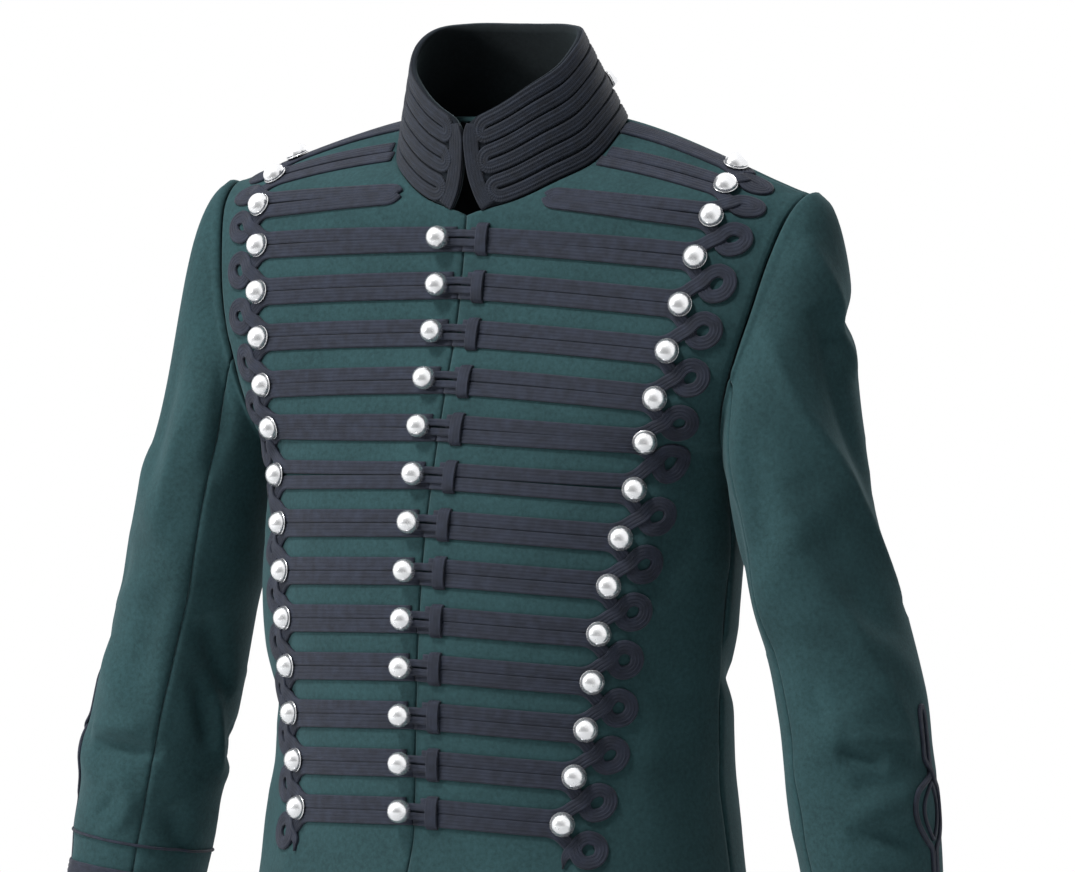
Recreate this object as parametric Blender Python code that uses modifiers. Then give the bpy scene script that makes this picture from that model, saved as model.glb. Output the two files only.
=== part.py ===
"""A napoleon jacket, worn: a short, close wool jacket with a tall stand collar and braided frogging.

Lengths below are millimetres and angles are degrees; MM turns a length into metres as a mesh is made. The
origin is the nape, the back of the neck where the collar is sewn on. +X is the wearer's left, -Y the front
and +Z up.

A level is a height on the jacket counted in braid rows: 1 to 13 are the closing rows, 0, -1 and -2 the
three rows that fan up to the shoulder seam, and larger numbers lie below the last row. A level's line runs
from the front edge, or the neck, round to the armhole or the side seam.
"""
import math

import bmesh
import bpy
import numpy as np
from mathutils import Matrix, Vector

MM = 0.001

# Driving dimensions. A seam's inner edge is cut back a little more than its outer one, as two walls that
# meet at a seam turn towards each other there. FROM_EDGE is how far in from an edge a normal is read.
CLOTH = 2.0
SEAM_HALF = 0.15
INNER_CUT = 0.45
FROM_EDGE = 0.03
LAID_GAP = 0.4
BRAID = 2.0
BRAID_HALF_WIDTH = 9.75
GROOVE_DEPTH = 0.8
ROW_PITCH = 33.4
ROW_ONE_Z = -78.0
CLOSING_ROWS = 13
ALL_ROWS = range(-2, CLOSING_ROWS + 1)
NECK_LEVEL = 0.5
NAPE_LEVEL = -1 - BRAID_HALF_WIDTH / ROW_PITCH
ARMPIT_LEVEL = 5.5
HEM_LEVEL = 15.4
SHOULDER_LEVEL = -2.6
SKIRT_LEVELS = [14.0, 14.7]
EXTRA_NECK_LEVELS = [-1.5, 0.08]

# The neck seam is an ellipse seen from above. Angle 0 is the front, 90 the side and 180 the nape.
NECK_HALF_WIDTH = 86.0
NECK_HALF_DEPTH = 60.0
NECK_CENTRE_Y = -57.0
RIM_HALF_WIDTH = 63.5
RIM_HALF_DEPTH = 42.0
RIM_CENTRE_Y = -84.0

# angle, height of the neck seam, height of the collar's rim
COLLAR_HEIGHTS = [
    (0, -61, 2),
    (25, -50, 16),
    (45, -36, 30),
    (68, -21, 44),
    (90, 0, 60),
    (112, 11, 71),
    (140, 6, 76),
    (180, 0, 77),
]

# level, neck angle where the level's line starts on the front
FRONT_NECK = [(SHOULDER_LEVEL, 105), (-2, 97), (-1, 72), (0, 30), (0.25, 17), (0.5, 0)]

# level, neck angle where the level's line starts on the back
BACK_NECK = [(SHOULDER_LEVEL, 105), (-2, 135), (NAPE_LEVEL, 180)]

# level, depth of the front edge
FRONT_EDGE_Y = [
    (0.5, -117),
    (1, -118),
    (2, -121),
    (3, -126),
    (4, -135),
    (5, -143),
    (6, -150),
    (7, -156),
    (9, -161),
    (11, -160),
    (13, -157),
    (15.4, -156),
]

# level, depth and height of the back's middle line
BACK_MIDDLE = [
    (NAPE_LEVEL, 3, 0),
    (0, 20, -36),
    (1, 33, -70),
    (2, 43, -107),
    (3, 50, -143),
    (4, 55, -178),
    (5.5, 59, -229),
    (7, 60, -280),
    (9, 59, -347),
    (11, 64, -414),
    (13, 77, -480),
    (15.4, 88, -560),
]

# level, x, y, z of the front's outer end, heading (0 sideways, 90 straight back), fullness, outer handle
FRONT_OUTER = [
    (-2.6, 233, -44, -40, 0, 50, 50),
    (-2, 233, -50, -41, 8, 60, 48),
    (-1, 231, -63, -49, 22, 75, 42),
    (0, 228, -74, -63, 32, 90, 38),
    (1, 222, -84, -90, 38, 116, 34),
    (2, 215, -91, -123, 46, 116, 34),
    (3, 206, -94, -155, 54, 114, 34),
    (4, 196, -90, -188, 66, 112, 38),
    (5, 189, -74, -216, 82, 112, 44),
    (5.5, 187, -58, -226, 90, 112, 52),
    (6, 187, -55, -250, 90, 110, 54),
    (7, 186, -51, -285, 90, 104, 58),
    (9, 181, -46, -352, 90, 101, 63),
    (11, 175, -37, -419, 90, 97, 67),
    (12, 173, -32, -452, 90, 98, 72),
    (13, 177, -28, -486, 90, 102, 76),
    (15.4, 192, -25, -563, 90, 110, 80),
]

# the same columns for the back, whose heading runs from sideways to straight forward
BACK_OUTER = [
    (-2.6, 233, -44, -40, 0, 50, 50),
    (-2, 233, -38, -41, 10, 60, 48),
    (-1, 230, -24, -53, 24, 75, 44),
    (0, 225, -9, -71, 34, 90, 40),
    (1, 218, 6, -94, 42, 112, 38),
    (2, 210, 16, -126, 50, 112, 38),
    (3, 202, 17, -158, 60, 110, 40),
    (4, 195, 3, -189, 74, 106, 46),
    (5, 189, -33, -211, 86, 104, 56),
    (5.5, 187, -58, -226, 90, 103, 64),
    (6, 187, -55, -250, 90, 103, 63),
    (7, 186, -51, -285, 90, 102, 61),
    (9, 181, -46, -352, 90, 103, 61),
    (11, 175, -37, -419, 90, 102, 59),
    (12, 173, -32, -452, 90, 104, 60),
    (13, 177, -28, -486, 90, 108, 62),
    (15.4, 192, -25, -563, 90, 112, 64),
]

# level, x, y, z of the side seam, which the front and the back share below the armpit
SIDE_SEAM = [row[:4] for row in FRONT_OUTER if row[0] >= ARMPIT_LEVEL]

# level, distance of the outer buttons from the middle
BUTTON_LINE = [
    (-2.6, 177),
    (-2, 178),
    (-1, 183),
    (0, 183),
    (1, 177),
    (3, 165),
    (5, 151),
    (7, 137),
    (9, 126),
    (11, 118),
    (13, 106),
    (15.4, 104),
]

# How steeply a level's line falls, and how much more so at its two ends on the shoulder
ROW_SLOPE = -0.03
START_SLOPE_AT_SHOULDER = -0.19
END_SLOPE_AT_SHOULDER = -0.3

# The front edges swing to the wearer's right below the last row.
EDGE_SWING = 10.0
EDGE_SWING_LEVEL = 13.3

# level, distance of the closing buttons from the front edge
BUTTON_INSET = [(1, 18), (2, 15.5), (4, 14.5), (7, 10), (13, 8)]

# Where the front's columns stand, which the braid laid on it shares. A place runs 0 to 1 from the edge to the
# button line, 1 to 2 over the rings and 2 to 3 to the side. The braid is drawn flat at FLAT units a place.
PANEL_ZONES = [0, 0.3, 0.66, 1, 1.45, 2, 3]
BACK_ZONES = [0, 0.66, 1, 2, 3]
BUTTON_COLUMN = PANEL_ZONES.index(1)
FLAT = 100.0
SPACING_STEP = 0.15

# The ring that each row ends in lies outside the button line and midway to the next row.
RING_OUT = 20.0
RING_RADIUS = 13.6
RING_HOLE_RADIUS = 4.4
RING_SIDES = 10
HOLE_SIDES = 6
RING_ZONE = 42.0
RING_CLEAR = 6.0
BAR_PAST_BUTTON = 15.5
UPPER_BAR_START_X = 63.0
EDGE_MARGIN = 1.2
COLLAR_MARGIN = 2.5

LOOP_HALF_WIDTH = 6.0
LOOP_PAST_BUTTON = 6.5
LOOP_SEAT = 2.7
TAB_END = 20.0
TAB_LENGTH = 9.0
TAB_HALF_WIDTH = 9.35
TAB_THICKNESS = 1.6
SHANK_HOLE_RADIUS = 4.2

BUTTON_RADIUS = 8.75
BUTTON_HEIGHT = 8.6
SHANK_RADIUS = 3.0
BUTTON_SIDES = 8

# A button's form, as shares of its radius and height from the crown to the back
DOME = [(0, 1), (0.62, 0.84), (1, 0.36), (0.8, 0)]
COLLAR_BUTTON_RADIUS = 6.5
COLLAR_BUTTON_ANGLE = 121.0

COLLAR_WALL = 3.0
COLLAR_GAP_AT_TOP = 1.0
COLLAR_GAP_AT_BASE = 11.0
COLLAR_BRAIDS = 6
COLLAR_RELIEF = 1.3
COLLAR_SEAM_BEVEL = 2.0
COLLAR_EDGE_ANGLES = [0, 4, 9]
COLLAR_FROM_EDGE = 1.0
COLLAR_COLUMNS = 26
COLLAR_PLAIN_BAND_COLUMNS = 2
COLLAR_BUTTON_SHARE = 0.42

# height down the arm, x and y of the sleeve's centre line, its outer, inner and front-to-back radii
SLEEVE_SECTIONS = [
    (-238, 231, -50, 54, 37, 57),
    (-270, 241, -50, 50, 40, 56),
    (-305, 251, -47, 49, 44, 55),
    (-345, 263, -40, 50, 44, 54),
    (-390, 275, -37, 52, 47, 54),
    (-445, 287, -38, 51, 50, 53),
    (-510, 299, -37, 48, 48, 50),
    (-560, 305, -38, 45, 45, 48),
    (-618, 312, -40, 42, 42, 45),
]

# The largest folds of the sleeves: height and angle of the middle, fall in mm for each degree, half length in
# degrees, half width and height in mm
SLEEVE_FOLDS = [
    (-286, 78, -0.55, 48, 17, 3.4),
    (-352, 40, 0.75, 52, 17, 3.0),
    (-418, 84, -0.5, 46, 15, 3.2),
    (-462, 36, -0.3, 50, 13, 3.6),
    (-500, 70, 0.35, 46, 13, 2.6),
    (-452, 214, 0.3, 50, 15, 3.4),
    (-330, 236, -0.5, 44, 17, 2.8),
]

CAP_END_Z = SLEEVE_SECTIONS[0][0]
CUFF_Z = SLEEVE_SECTIONS[-1][0]
ARM_STEP = 40.0
SLEEVE_RUNS = 1 + (CAP_END_Z - CUFF_Z) / ARM_STEP
CAP_RUNS = [0, 0.12, 0.27, 0.45, 0.63, 0.82]
ARM_ROWS = 10
TILT_STEP = 4.0

# The cap's lines leave the armhole and meet the arm with handles, given outside the arm and below it.
CAP_WAY_OUTSIDE = np.array([1.0, 0.0, 0.25])
CAP_WAY_UNDER = np.array([0.25, 0.0, -0.95])
CAP_WAY_FORWARD = 0.15
CAP_HANDLE_OUTSIDE = 36.0
CAP_HANDLE_UNDER = 6.0
CAP_END_WAY = np.array([-0.32, 0.0, 1.0])
CAP_END_HANDLE = 0.42

# The pointed knot on the outside of each cuff stands on a band of braid. The arms are turned unequally, so
# the knot lies further to the front on the wearer's right.
KNOT_TIP_Z = -404.0
KNOT_ANGLE_LEFT = 0.0
KNOT_ANGLE_RIGHT = 18.0
KNOT_LENGTH = 96.0
KNOT_HALF_WIDTH = 22.0
KNOT_STRAND = 5.0
KNOT_POINT = 0.6
KNOT_CORNERS = 14
KNOT_OPENING_CORNERS = 10
KNOT_OPENING_DOWN = 11.0
KNOT_OPENING_LENGTH = 80.0
STEM_OVERLAP = 5.0
CUFF_BRAID = 1.6
CUFF_BAND_DOWN = 134.0
CUFF_BAND_WIDTH = 20.0
CUFF_BAND_SEAM = 0.3

FRONT_SEAM_ANGLE = 120.0
BACK_SEAM_ANGLE = 245.0
UPPER_ANGLES = np.linspace(BACK_SEAM_ANGLE - 360, FRONT_SEAM_ANGLE, 13)
UNDER_ANGLES = np.linspace(FRONT_SEAM_ANGLE, BACK_SEAM_ANGLE, 7)

WOOL = (0.035, 0.085, 0.08)
BRAID_COLOUR = (0.03, 0.03, 0.045)
SILVER = (0.78, 0.78, 0.8)

PARTS = bpy.data.collections.new("napoleon_jacket")
CUTTERS = bpy.data.collections.new("cutters")


def column_values(table, key):
    """A smooth curve through each column of a table, read at key."""
    rows = np.array(table, float)
    keys = rows[:, 0]
    values = rows[:, 1:]
    key = min(max(key, keys[0]), keys[-1])
    slopes = np.gradient(values, keys, axis=0)
    i = min(int(np.searchsorted(keys, key, side="right")) - 1, len(keys) - 2)
    span = keys[i + 1] - keys[i]
    t = (key - keys[i]) / span
    h00 = 2 * t**3 - 3 * t**2 + 1
    h10 = t**3 - 2 * t**2 + t
    h01 = -2 * t**3 + 3 * t**2
    h11 = t**3 - t**2
    return h00 * values[i] + h10 * span * slopes[i] + h01 * values[i + 1] + h11 * span * slopes[i + 1]


def straight_value(table, key):
    """The second column of a table, read at key along straight lines."""
    rows = np.array(table, float)
    return float(np.interp(key, rows[:, 0], rows[:, 1]))


def neck_point(angle):
    turn = math.radians(angle)
    height = column_values(COLLAR_HEIGHTS, angle)[0]
    depth = NECK_CENTRE_Y - NECK_HALF_DEPTH * math.cos(turn)
    return np.array([NECK_HALF_WIDTH * math.sin(turn), depth, height])


def rim_point(angle):
    turn = math.radians(angle)
    height = column_values(COLLAR_HEIGHTS, angle)[1]
    depth = RIM_CENTRE_Y - RIM_HALF_DEPTH * math.cos(turn)
    return np.array([RIM_HALF_WIDTH * math.sin(turn), depth, height])


def level_height(level):
    return ROW_ONE_Z - ROW_PITCH * (level - 1)


def front_start(level):
    if level < NECK_LEVEL:
        return neck_point(straight_value(FRONT_NECK, level))
    return np.array([0.0, column_values(FRONT_EDGE_Y, level)[0], level_height(level)])


def back_start(level):
    if level < NAPE_LEVEL:
        return neck_point(straight_value(BACK_NECK, level))
    depth, height = column_values(BACK_MIDDLE, level)
    return np.array([0.0, depth, height])


class LevelLine:
    """One level's line on the front or the back, measured along its length from the middle or the neck."""

    SAMPLES = 60

    def __init__(self, is_front, level):
        start = front_start(level) if is_front else back_start(level)
        x, y, z, heading, fullness, handle = column_values(FRONT_OUTER if is_front else BACK_OUTER, level)
        end = np.array([x, y, z])
        if level >= ARMPIT_LEVEL:
            end = column_values(SIDE_SEAM, level)
        shoulder_share = min(max((NECK_LEVEL - level) / (NECK_LEVEL - SHOULDER_LEVEL), 0), 1)
        start_slope = ROW_SLOPE + START_SLOPE_AT_SHOULDER * shoulder_share
        end_slope = ROW_SLOPE + END_SLOPE_AT_SHOULDER * shoulder_share
        toward_back = 1 if is_front else -1
        turn = math.radians(heading)
        start_way = np.array([1.0, 0.0, start_slope])
        end_way = np.array([math.cos(turn), toward_back * math.sin(turn), end_slope * math.cos(turn)])
        t = np.linspace(0, 1, self.SAMPLES)[:, None]
        b = start + start_way * fullness
        c = end - end_way * handle
        self.points = (1 - t) ** 3 * start + 3 * (1 - t) ** 2 * t * b + 3 * (1 - t) * t**2 * c + t**3 * end
        steps = np.linalg.norm(np.diff(self.points, axis=0), axis=1)
        self.along = np.concatenate([[0], np.cumsum(steps)])
        self.length = self.along[-1]

    def at(self, distance):
        """The point at a distance from the line's start, on the wearer's right if it is negative."""
        spot = np.array([np.interp(abs(distance), self.along, self.points[:, k]) for k in range(3)])
        if distance < 0:
            spot[0] = -spot[0]
        return spot

    def distance_to_x(self, x):
        return float(np.interp(x, self.points[:, 0], self.along))


LINES = {}


def level_line(is_front, level):
    key = (is_front, round(level, 4))
    if key not in LINES:
        LINES[key] = LevelLine(is_front, level)
    return LINES[key]


def button_distance(level):
    """How far the outer button line lies along a level's line."""
    return level_line(True, level).distance_to_x(column_values(BUTTON_LINE, level)[0])


def edge_swing(level):
    """How far the front edges swing to the wearer's right below the last row."""
    share = min(max((level - EDGE_SWING_LEVEL) / (HEM_LEVEL - EDGE_SWING_LEVEL), 0), 1)
    return EDGE_SWING * share * share * (3 - 2 * share)


def zone_to_distance(zone, level, side):
    line = level_line(True, level)
    button = button_distance(level)
    ring_end = min(button + RING_ZONE, line.length - RING_CLEAR)
    distance = float(np.interp(zone, [0, 1, 2, 3], [0, button, ring_end, line.length]))
    if level > EDGE_SWING_LEVEL and zone < 1:
        distance -= side * edge_swing(level) * (1 - zone)
    return distance


def distance_to_zone(distance, level):
    line = level_line(True, level)
    button = button_distance(level)
    ring_end = min(button + RING_ZONE, line.length - RING_CLEAR)
    return float(np.interp(distance, [-button, 0, button, ring_end, line.length], [-1, 0, 1, 2, 3]))


def front_point(zone, level, side):
    spot = level_line(True, level).at(zone_to_distance(zone, level, side))
    spot[0] *= side
    return spot


def back_point(share, level):
    """share runs from -1 at the wearer's right side to 1 at the left."""
    line = level_line(False, level)
    return line.at(share * line.length)


def normal_of(point_at, a, b, step=0.02):
    """The unit normal of a surface point_at(a, b), with a sign that the caller settles."""
    across = point_at(a + step, b) - point_at(a - step, b)
    down = point_at(a, b + step) - point_at(a, b - step)
    normal = np.cross(across, down)
    return normal / np.linalg.norm(normal)


def front_frame(zone, level, side):
    """A point of the front and the normal that points away from the wearer."""
    inside_level = min(max(level, SHOULDER_LEVEL + FROM_EDGE), HEM_LEVEL - FROM_EDGE)
    inside_zone = min(zone, PANEL_ZONES[-1] - FROM_EDGE)

    def surface(a, b):
        return front_point(a, b, side)

    normal = normal_of(surface, inside_zone, inside_level)
    return front_point(zone, level, side), -normal * side


def back_frame(share, level):
    inside_level = min(max(level, SHOULDER_LEVEL + FROM_EDGE), HEM_LEVEL - FROM_EDGE)
    inside_share = min(max(share, FROM_EDGE - 1), 1 - FROM_EDGE)
    return back_point(share, level), normal_of(back_point, inside_share, inside_level)


def panel_levels():
    """Levels of the panels' rows: both edges of every braid row, the neck's corner and the hem."""
    half = BRAID_HALF_WIDTH / ROW_PITCH
    levels = [SHOULDER_LEVEL, *EXTRA_NECK_LEVELS]
    for row in ALL_ROWS:
        levels += [row - half, row + half]
    levels += [NECK_LEVEL, ARMPIT_LEVEL, *SKIRT_LEVELS, HEM_LEVEL]
    return sorted(set(levels))


def unit(vector):
    return vector / np.linalg.norm(vector)


def shoulder_share(zone):
    return zone_to_distance(zone, SHOULDER_LEVEL, 1) / level_line(True, SHOULDER_LEVEL).length


def shoulder_normal(zone):
    """The normal that the front and the back share on the shoulder seam, on the wearer's left."""
    ahead = front_frame(zone, SHOULDER_LEVEL, 1)[1]
    return unit(ahead + back_frame(shoulder_share(zone), SHOULDER_LEVEL)[1])


def side_normal(level):
    """The normal that the front and the back share on the side seam, on the wearer's left."""
    return unit(front_frame(3, level, 1)[1] + back_frame(1, level)[1])


class Facets:
    """A grid of points and normals, read between them as the two flat faces of each cell of a wall lie."""

    def __init__(self, across, along, points, normals):
        self.across = np.array(across, float)
        self.along = np.array(along, float)
        self.points = points
        self.normals = normals

    def cell(self, values, value):
        i = min(max(int(np.searchsorted(values, value, side="right")) - 1, 0), len(values) - 2)
        return i, (value - values[i]) / (values[i + 1] - values[i])

    def blend(self, grid, across, along):
        j, s = self.cell(self.across, across)
        i, t = self.cell(self.along, along)
        corner = grid[i, j]
        far = grid[i + 1, j + 1]
        if s >= t:
            return corner + (grid[i, j + 1] - corner) * s + (far - grid[i, j + 1]) * t
        return corner + (grid[i + 1, j] - corner) * t + (far - grid[i + 1, j]) * s

    def frame(self, across, along):
        return self.blend(self.points, across, along), unit(self.blend(self.normals, across, along))


def grids_of(frames):
    points = np.array([[f[0] for f in row] for row in frames])
    normals = np.array([[f[1] for f in row] for row in frames])
    return points, normals


def front_facets(side):
    """The front's outer form. Its shoulder edge has corners only where the back has columns."""
    levels = panel_levels()
    flip = np.array([side, 1, 1])
    points, normals = grids_of([[front_frame(zone, level, side) for zone in PANEL_ZONES] for level in levels])
    for j, zone in enumerate(PANEL_ZONES):
        if zone in BACK_ZONES:
            normals[0, j] = shoulder_normal(zone) * flip
    distances = [zone_to_distance(zone, SHOULDER_LEVEL, side) for zone in PANEL_ZONES]
    for j, zone in enumerate(PANEL_ZONES):
        if zone not in BACK_ZONES:
            share = (distances[j] - distances[j - 1]) / (distances[j + 1] - distances[j - 1])
            for grid in (points, normals):
                grid[0, j] = grid[0, j - 1] * (1 - share) + grid[0, j + 1] * share
    for i, level in enumerate(levels):
        if level >= ARMPIT_LEVEL:
            normals[i, -1] = side_normal(level) * flip
    return Facets(PANEL_ZONES, levels, points, normals)


FRONTS = {}


def front_place(zone, level, side, height=0.0):
    """A place on or above a finished front. A zone below 0 lies past the edge, on the other front."""
    if side not in FRONTS:
        FRONTS[side] = front_facets(side)
    if zone < 0:
        return front_place(-zone, level, -side, height)
    spot, normal = FRONTS[side].frame(zone, level)
    return spot + normal * height


def face_outward(bm):
    bmesh.ops.recalc_face_normals(bm, faces=bm.faces)
    if bm.calc_volume(signed=True) < 0:
        bmesh.ops.reverse_faces(bm, faces=bm.faces)


def smooth(mesh):
    mesh.shade_smooth()
    mesh.set_sharp_from_angle(angle=math.radians(40))


def make_object(name, mesh, colour, roughness, metallic=0.0):
    obj = bpy.data.objects.new(name, mesh)
    PARTS.objects.link(obj)
    material = bpy.data.materials.new(name)
    material.use_nodes = True
    shader = material.node_tree.nodes["Principled BSDF"]
    shader.inputs["Base Color"].default_value = (*colour, 1)
    shader.inputs["Roughness"].default_value = roughness
    shader.inputs["Metallic"].default_value = metallic
    mesh.materials.clear()
    mesh.materials.append(material)
    return obj


def trim_grid(grid, first_row=0.0, last_row=0.0, first_column=0.0, last_column=0.0):
    """Moves a grid's border points in along the grid by the distances given."""
    out = grid.copy()
    edges = [
        (first_row, (0, slice(None)), (1, slice(None))),
        (last_row, (-1, slice(None)), (-2, slice(None))),
        (first_column, (slice(None), 0), (slice(None), 1)),
        (last_column, (slice(None), -1), (slice(None), -2)),
    ]
    for amount, border, neighbour in edges:
        step = grid[neighbour] - grid[border]
        length = np.linalg.norm(step, axis=-1, keepdims=True)
        out[border] = out[border] + step / np.maximum(length, 1e-6) * amount
    return out


def wall_mesh(name, outer, inner, open_from=None):
    """A wall between two grids of points with the same columns, closed all round.

    From row open_from on, the first column is left open for a mirror.
    """
    columns = outer.shape[1]
    bm = bmesh.new()
    layers = [[[bm.verts.new(Vector(p) * MM) for p in row] for row in grid] for grid in (outer, inner)]
    for layer in layers:
        for low, high in zip(layer, layer[1:]):
            for j in range(columns - 1):
                bm.faces.new((low[j], low[j + 1], high[j + 1]))
                bm.faces.new((low[j], high[j + 1], high[j]))
    front, back = layers
    for i in (0, -1):
        for j in range(columns - 1):
            bm.faces.new((front[i][j], front[i][j + 1], back[i][j + 1], back[i][j]))
    for j in (0, -1):
        rim = [row[j] for row in front] + [row[j] for row in reversed(back)]
        if len(front) != len(back):
            bm.faces.new(rim)
            continue
        last = open_from if j == 0 and open_from is not None else len(front) - 1
        for i in range(last):
            bm.faces.new((front[i][j], front[i + 1][j], back[i + 1][j], back[i][j]))
    face_outward(bm)
    mesh = bpy.data.meshes.new(name)
    bm.to_mesh(mesh)
    bm.free()
    smooth(mesh)
    return mesh


def front_panel(name, side):
    facets = front_facets(side)
    inner = trim_grid(facets.points - facets.normals * CLOTH, INNER_CUT, 0, SEAM_HALF, INNER_CUT)
    outer = trim_grid(facets.points, SEAM_HALF, 0, SEAM_HALF, SEAM_HALF)
    return make_object(name, wall_mesh(name, outer, inner), WOOL, 0.9)


def back_panel(name):
    """The left half of the back, mirrored across the middle line and open for the neck above the nape."""
    levels = panel_levels()
    shares = [shoulder_share(zone) for zone in BACK_ZONES]
    points, normals = grids_of([[back_frame(share, level) for share in shares] for level in levels])
    for j, zone in enumerate(BACK_ZONES):
        normals[0, j] = shoulder_normal(zone)
    for i, level in enumerate(levels):
        if level >= ARMPIT_LEVEL:
            normals[i, -1] = side_normal(level)
    inner = trim_grid(points - normals * CLOTH, INNER_CUT, 0, 0, INNER_CUT)
    outer = trim_grid(points, SEAM_HALF, 0, 0, SEAM_HALF)
    nape_row = levels.index(NAPE_LEVEL)
    for grid, cut in ((outer, SEAM_HALF), (inner, INNER_CUT)):
        neck_edge = trim_grid(grid, first_column=cut)
        grid[:nape_row, 0] = neck_edge[:nape_row, 0]
        grid[nape_row:, 0, 0] = 0
        grid[nape_row, 0] += (grid[nape_row + 1, 0] - grid[nape_row, 0]) * cut / ROW_PITCH
    obj = make_object(name, wall_mesh(name, outer, inner, nape_row), WOOL, 0.9)
    mirror = obj.modifiers.new("mirror", "MIRROR")
    mirror.merge_threshold = 0.0001
    return obj


def neck_seam_point(angle):
    """A point of the neck seam, straight between the corners that the panels have there."""
    levels = panel_levels()
    angles = {straight_value(FRONT_NECK, level) for level in levels if level <= NECK_LEVEL}
    angles |= {straight_value(BACK_NECK, level) for level in levels if level <= NAPE_LEVEL}
    corners = sorted(angles)
    points = np.array([neck_point(corner) for corner in corners])
    return np.array([np.interp(angle, corners, points[:, k]) for k in range(3)])


def collar_point(angle, share):
    """share runs from the neck seam to the rim."""
    gap = (1 - share) * COLLAR_GAP_AT_BASE / NECK_HALF_WIDTH + share * COLLAR_GAP_AT_TOP / RIM_HALF_WIDTH
    first = math.degrees(gap)
    turned = first + (360 - 2 * first) * angle / 360
    way = 1 if turned <= 180 else -1
    folded = turned if turned <= 180 else 360 - turned
    low = neck_seam_point(folded)
    high = rim_point(folded)
    spot = low * (1 - share) + high * share
    spot[0] *= way
    return spot


def collar_frame(angle, share):
    """A point of the collar and the normal that points away from the wearer."""
    inside_angle = min(max(angle, COLLAR_FROM_EDGE), 360 - COLLAR_FROM_EDGE)
    inside_share = min(max(share, FROM_EDGE), 1 - FROM_EDGE)
    return collar_point(angle, share), normal_of(collar_point, inside_angle, inside_share)


def collar():
    """The collar's wall, its outside ribbed by the braid and plain beside the front edges."""
    edge = np.array(COLLAR_EDGE_ANGLES)
    columns = np.concatenate([edge, np.linspace(18, 342, COLLAR_COLUMNS), 360 - edge[::-1]])
    plain = COLLAR_PLAIN_BAND_COLUMNS
    outer = []
    for i, share in enumerate(np.linspace(0, 1, 2 * COLLAR_BRAIDS + 1)):
        row = []
        for j, angle in enumerate(columns):
            spot, normal = collar_frame(angle, share)
            raised = i % 2 or j < plain or j >= len(columns) - plain
            row.append(spot + normal * (COLLAR_RELIEF if raised else 0))
        outer.append(row)
    inner = []
    for share in (0, 0.5, 1):
        frames = [collar_frame(angle, share) for angle in columns]
        inner.append([spot - normal * COLLAR_WALL for spot, normal in frames])
    outer = trim_grid(np.array(outer), first_row=SEAM_HALF)
    inner = trim_grid(np.array(inner), first_row=COLLAR_SEAM_BEVEL)
    return make_object("collar", wall_mesh("collar", outer, inner), BRAID_COLOUR, 0.85)


def armhole_run(table):
    """The armhole's seam from the shoulder down to the armpit, as points and the share of its length."""
    levels = np.linspace(SHOULDER_LEVEL, ARMPIT_LEVEL, 80)
    points = np.array([column_values(table, level)[:3] for level in levels])
    steps = np.linalg.norm(np.diff(points, axis=0), axis=1)
    along = np.concatenate([[0], np.cumsum(steps)])
    return points, along / along[-1]


ARMHOLE_FRONT = armhole_run(FRONT_OUTER)
ARMHOLE_BACK = armhole_run(BACK_OUTER)


def armhole_point(angle):
    angle = angle % 360
    points, share = ARMHOLE_FRONT if angle <= 180 else ARMHOLE_BACK
    place = angle / 180 if angle <= 180 else (360 - angle) / 180
    return np.array([np.interp(place, share, points[:, k]) for k in range(3)])


def fold_height(angle, height):
    """How far the sleeve's folds stand out of its smooth form at a place."""
    total = 0.0
    for middle, turn, fall, half_length, half_width, rise in SLEEVE_FOLDS:
        away = (angle - turn + 180) % 360 - 180
        off = height - middle - fall * away
        total += rise * math.exp(-((away / half_length) ** 2) - (off / half_width) ** 2)
    return total


def arm_section(angle, height):
    """A point of the sleeve's section at a height. Angle 0 is the outside, 90 the front, 180 the body's side.

    The sections lean with the arm, by half as much where the cap ends.
    """
    table = [(-row[0], *row[1:]) for row in SLEEVE_SECTIONS]
    x, y, outside, inside, depth = column_values(table, -height)
    key = min(max(-height, table[0][0] + TILT_STEP), table[-1][0] - TILT_STEP)
    ahead = column_values(table, key + TILT_STEP)[:2] - column_values(table, key - TILT_STEP)[:2]
    slope = ahead / (2 * TILT_STEP) * (0.5 + 0.5 * min((CAP_END_Z - height) / ARM_STEP, 1))
    turn = math.radians(angle)
    reach = outside if math.cos(turn) > 0 else inside
    fold = fold_height(angle, height)
    dx = (reach + fold) * math.cos(turn)
    dy = -(depth + fold) * math.sin(turn)
    tilt = dx * slope[0] + dy * slope[1]
    return np.array([x + dx, y + dy, height + tilt])


def sleeve_point(angle, run):
    """run is 0 at the armhole, 1 where the cap ends, then one more for each ARM_STEP down the arm."""
    if run >= 1:
        return arm_section(angle, CAP_END_Z - (run - 1) * ARM_STEP)
    turn = math.radians(angle)
    under = (1 - math.cos(turn)) / 2
    start = armhole_point(angle)
    end = arm_section(angle, CAP_END_Z)
    way = CAP_WAY_OUTSIDE * (1 - under) + CAP_WAY_UNDER * under
    way[1] = -CAP_WAY_FORWARD * math.sin(turn)
    handle = CAP_HANDLE_OUTSIDE * (1 - under) + CAP_HANDLE_UNDER * under
    b = start + unit(way) * handle
    c = end + CAP_END_WAY * CAP_END_HANDLE * np.linalg.norm(end - start)
    t = run
    return (1 - t) ** 3 * start + 3 * (1 - t) ** 2 * t * b + 3 * (1 - t) * t**2 * c + t**3 * end


def sleeve_frame(angle, run):
    inside_run = min(max(run, FROM_EDGE), SLEEVE_RUNS - FROM_EDGE)
    return sleeve_point(angle, run), normal_of(sleeve_point, angle, inside_run, FROM_EDGE)


def sleeve_facets(angles):
    runs = np.concatenate([CAP_RUNS, np.linspace(1, SLEEVE_RUNS, ARM_ROWS)])
    points, normals = grids_of([[sleeve_frame(angle, run) for angle in angles] for run in runs])
    return Facets(angles, runs, points, normals)


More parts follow.
